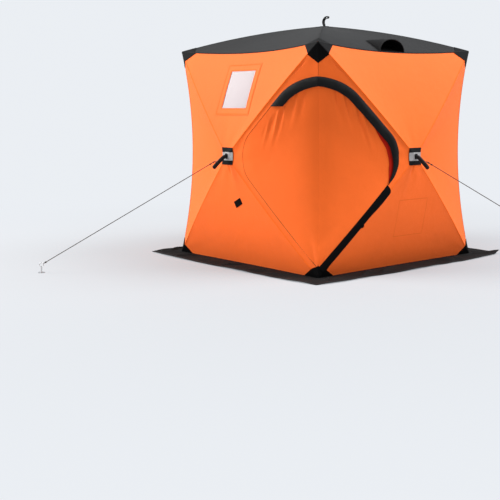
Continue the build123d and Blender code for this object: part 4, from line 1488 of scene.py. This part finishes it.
class HUT_OT_straps(bpy.types.Operator):
    """Make the pull straps on the hubs, and the pull loop on the roof"""
    bl_idname = "hut.straps"
    bl_label = "Straps and Loop"

    def execute(self, context):
        b, t = settings().body, settings().trim
        hub, thick = hub_height(), 0.003
        face = -b.side / 2 - b.wall_bulge - 0.0038

        def side_line(points, spacing):
            """A smooth line in the wall's middle plane, by (out from the face, up from the hub)."""
            return smooth_path([Vector((0, face + y, hub + z)) for y, z in points], spacing)

        base_line = side_line(((0.0002, -0.022), (-0.0004, 0.022)), 0.004)
        tongue = side_line(((-0.002, 0.004), (-0.02, -0.004), (-0.058, -0.031), (-0.094, -0.061),
                            (-0.128, -0.093)), 0.0015)
        x, z = 0.012, 0.018
        crossed = [rectangle(2 * x, 2 * z, (0, hub), 0.004)]
        crossed += [respaced([Vector((-hand * x, hub - z)), Vector((hand * x, hub + z))], 0.004)
                    for hand in (1, -1)]
        at, normal = Vector((0, face - 0.09, hub - 0.0535)), Vector((0, -0.66, 0.75)).normalized()
        half, low, high = t.strap_width / 2 + 0.0015, 0.0158, 0.0245
        corners = ((-half, -low), (half, -low), (half, low), (0, high), (-half, low), (-half, -low))
        loop = [at + RIGHT * u + normal * v for u, v in corners]
        ring = [point for p, q in zip(loop, loop[1:]) for point in straight(p, q, 6)[:-1]] + [loop[-1]]
        straps, rings, stitches = [], [], []
        for turn in range(4):
            straps.append(placed(strap_band("base", base_line, RIGHT, 0.032, thick, taper=0.004), turn))
            straps.append(placed(grip("tail", tongue, t.strap_width / 2, half_thick=0.0155), turn))
            ob = stitch_rows("box", crossed, lambda x, z, g: Vector((x, face - 0.0021 - g, z)),
                             width=0.0024)
            stitches.append(placed(ob, turn, OUT))
            rings.append(placed(piping("ring", ring, radius=0.0019), turn))
        finish_piece(joined("pull_strap_webbing", straps), "webbing", ["pull_straps"], 50)
        finish_piece(joined("pull_strap_stitching", stitches), "black stitching")
        finish_piece(joined("pull_strap_keepers", rings), "nylon", smooth=70)

        top = b.peak_height + 0.0045
        hook = ((0, 0), (-0.010, 0.018), (-0.013, 0.037), (-0.006, 0.055), (0.012, 0.068), (0.03, 0.0725),
                (0.041, 0.073))
        line = smooth_path([Vector((x, 0, top + z)) for x, z in hook], 0.003)
        go, back = [], []
        for i, p in enumerate(line):
            along = heading(line, i)
            aside = Vector((-along.z, 0, along.x)) * (0.004 + 0.005 * ramp(i / len(line), 0.5, 0.95))
            go.append(p + aside)
            back.append(p - aside)
        tip, along = line[-1], (line[-1] - line[-2]).normalized()
        aside = (go[-1] - back[-1]).normalized()
        bight = [tip + (along * math.sin(a) + aside * math.cos(a)) * 0.009
                 for a in (math.pi * i / 8 for i in range(1, 8))]
        band = respaced(go + bight + list(reversed(back)), 0.003)
        ob = strap_band("pull_loop_webbing", band, OUT, 0.024, thick, taper=0.002)
        wide, lift = 0.052, 0.0044
        foot = patch("foot", (10, 10), wide, wide, lambda x, y: roof_everywhere(x, y, lift))
        ob = joined("pull_loop_webbing", [ob, placed(foot, 0, UP, thick=0.002)])
        finish_piece(ob, "webbing", ["pull_loop"], 50)
        return {"FINISHED"}


class HUT_OT_ropes(bpy.types.Operator):
    """Make the taut guy ropes from the pull straps to the ice anchors, and finish the anchors"""
    bl_idname = "hut.ropes"
    bl_label = "Guy Ropes"

    def execute(self, context):
        b, t = settings().body, settings().trim
        ring_out, ring_down, eye_radius, steps = 0.1085, 0.0345, 0.016, 160
        pieces = []
        for turn, hand in enumerate((-1, 1, 1, -1)):
            start = Vector((0, -b.side / 2 - b.wall_bulge - ring_out, hub_height() - ring_down))
            end = Vector((hand * t.anchor_aside, -t.anchor_out, t.anchor_eye))
            along = (end - start).normalized()
            end -= along * eye_radius
            pieces.append(placed(piping("rope", straight(start, end, steps), t.rope_radius), turn))
            for place in (start + along * 0.022, start + along * 0.05, end - along * 0.02):
                pieces.append(placed(knot(place, along, t.rope_radius * 0.8), turn))
        finish_piece(joined("guy_rope_braid", pieces), "rope", ["guy_ropes"], 70)
        dress(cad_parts["ice_anchors"], "steel")
        return {"FINISHED"}


class HUT_OT_frame_finish(bpy.types.Operator):
    """Give the rods, hubs and corner joints their plastics"""
    bl_idname = "hut.frame_finish"
    bl_label = "Rod and Hub Finish"

    def execute(self, context):
        for name in ("wall_hubs", "roof_hub", "top_corner_joints", "foot_corner_joints"):
            dress(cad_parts[name], "nylon")
        for name in ("roof_rods", *(wall + "_wall_rods" for wall in WALLS)):
            dress(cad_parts[name], "rod")
        return {"FINISHED"}


# ---------------------------------------------------------------- operator: stage


def lamp(name, energy, place, tint, size=6.5, target=(0, 0, 0.9)):
    data = bpy.data.lights.new(name, "AREA")
    data.energy, data.size, data.color = energy, size, tint
    ob = bpy.data.objects.new(name, data)
    bpy.context.scene.collection.objects.link(ob)
    ob.location = place
    ob.rotation_euler = (Vector(target) - Vector(place)).to_track_quat("-Z", "Y").to_euler()


class HUT_OT_stage(bpy.types.Operator):
    """Make the camera, the pale floor and the soft studio light"""
    bl_idname = "hut.stage"
    bl_label = "Stage"

    def execute(self, context):
        scene, c = context.scene, settings().colours
        data = bpy.data.cameras.new("Camera")
        data.lens, data.sensor_width = 67.5, 36
        data.shift_x, data.shift_y = -0.149, -0.284
        camera = bpy.data.objects.new("Camera", data)
        scene.collection.objects.link(camera)
        camera.location = (6.083, -5.633, 1.2785)
        camera.rotation_euler = (math.radians(90), 0, math.radians(47.2))
        scene.camera = camera

        deselect()
        bpy.ops.mesh.primitive_circle_add(vertices=96, radius=60, fill_type="NGON")
        floor = context.object
        floor.name = "Floor"
        material, n = new_material("Pale floor", c.floor, 0.9)
        shape = n.mapped("Object")
        n.drive("Base Color", n.mottle(shape, c.floor, 0.985, 1.015, scale=0.8))
        away = n.add("VectorMath", {0: shape}, operation="LENGTH").outputs["Value"]
        far = n.add("MapRange", {"Value": away, "From Min": -1.2, "From Max": 5.5},
                    interpolation_type="SMOOTHSTEP")
        plain = n.add("Emission", {"Color": c.backdrop, "Strength": 1.0})
        seen = n.add("MixShader", {0: far, 1: n.nodes["Principled BSDF"], 2: plain})
        dim = n.add("BsdfDiffuse", {"Color": (0.44, 0.44, 0.45, 1)})
        seen_directly = n.add("LightPath").outputs["Is Camera Ray"]
        both = n.add("MixShader", {0: seen_directly, 1: dim, 2: seen})
        n.put(n.nodes["Material Output"], "Surface", both)
        floor.data.materials.append(material)

        world = bpy.data.worlds.new("Soft sky")
        scene.world = world
        world.use_nodes = True
        n = Nodes(world.node_tree)
        sky = n.nodes["Background"]
        n.put(sky, "Color", (0.93, 0.96, 1, 1))
        n.put(sky, "Strength", 0.6)
        seen = n.add("Background", {"Color": c.backdrop, "Strength": 1.0})
        seen_directly = n.add("LightPath").outputs["Is Camera Ray"]
        both = n.add("MixShader", {0: seen_directly, 1: sky, 2: seen})
        n.put(n.nodes["World Output"], "Surface", both)

        lamp("Left key", 1800, (-6.2, -6.8, 6.9), (1, 0.985, 0.96))
        lamp("Right key", 1700, (5.2, 5.0, 9.2), (0.98, 0.99, 1))
        scene.view_settings.view_transform = "Standard"
        return {"FINISHED"}


class HUT_PT_panel(bpy.types.Panel):
    """Steps of the hut, in order"""
    bl_label = "Ice Fishing Hut"
    bl_idname = "HUT_PT_panel"
    bl_space_type = "VIEW_3D"
    bl_region_type = "UI"
    bl_category = "Hut"

    def draw(self, context):
        layout = self.layout
        hut = context.scene.fishing_hut
        for group in ("body", "door", "openings", "trim", "colours"):
            box = layout.box()
            box.label(text=group.title())
            values = getattr(hut, group)
            for key in values.bl_rna.properties.keys():
                if key not in ("rna_type", "name"):
                    box.prop(values, key)
        for step in STEPS:
            layout.operator(step.bl_idname)


STEPS = (
    HUT_OT_stage,
    HUT_OT_walls,
    HUT_OT_door_surround,
    HUT_OT_door,
    HUT_OT_roof,
    HUT_OT_windows,
    HUT_OT_skylight,
    HUT_OT_vent,
    HUT_OT_seams,
    HUT_OT_zip,
    HUT_OT_patches,
    HUT_OT_skirt,
    HUT_OT_straps,
    HUT_OT_ropes,
    HUT_OT_frame_finish,
)
CLASSES = (HutBody, HutDoor, HutOpenings, HutTrim, HutColours, HutSettings, *STEPS, HUT_PT_panel)


def register():
    for item in CLASSES:
        bpy.utils.register_class(item)
    bpy.types.Scene.fishing_hut = PointerProperty(type=HutSettings)


def unregister():
    del bpy.types.Scene.fishing_hut
    for item in reversed(CLASSES):
        bpy.utils.unregister_class(item)


def main():
    register()
    for step in STEPS:
        group, name = step.bl_idname.split(".")
        getattr(getattr(bpy.ops, group), name)()
    deselect()


if __name__ == "__main__":
    main()
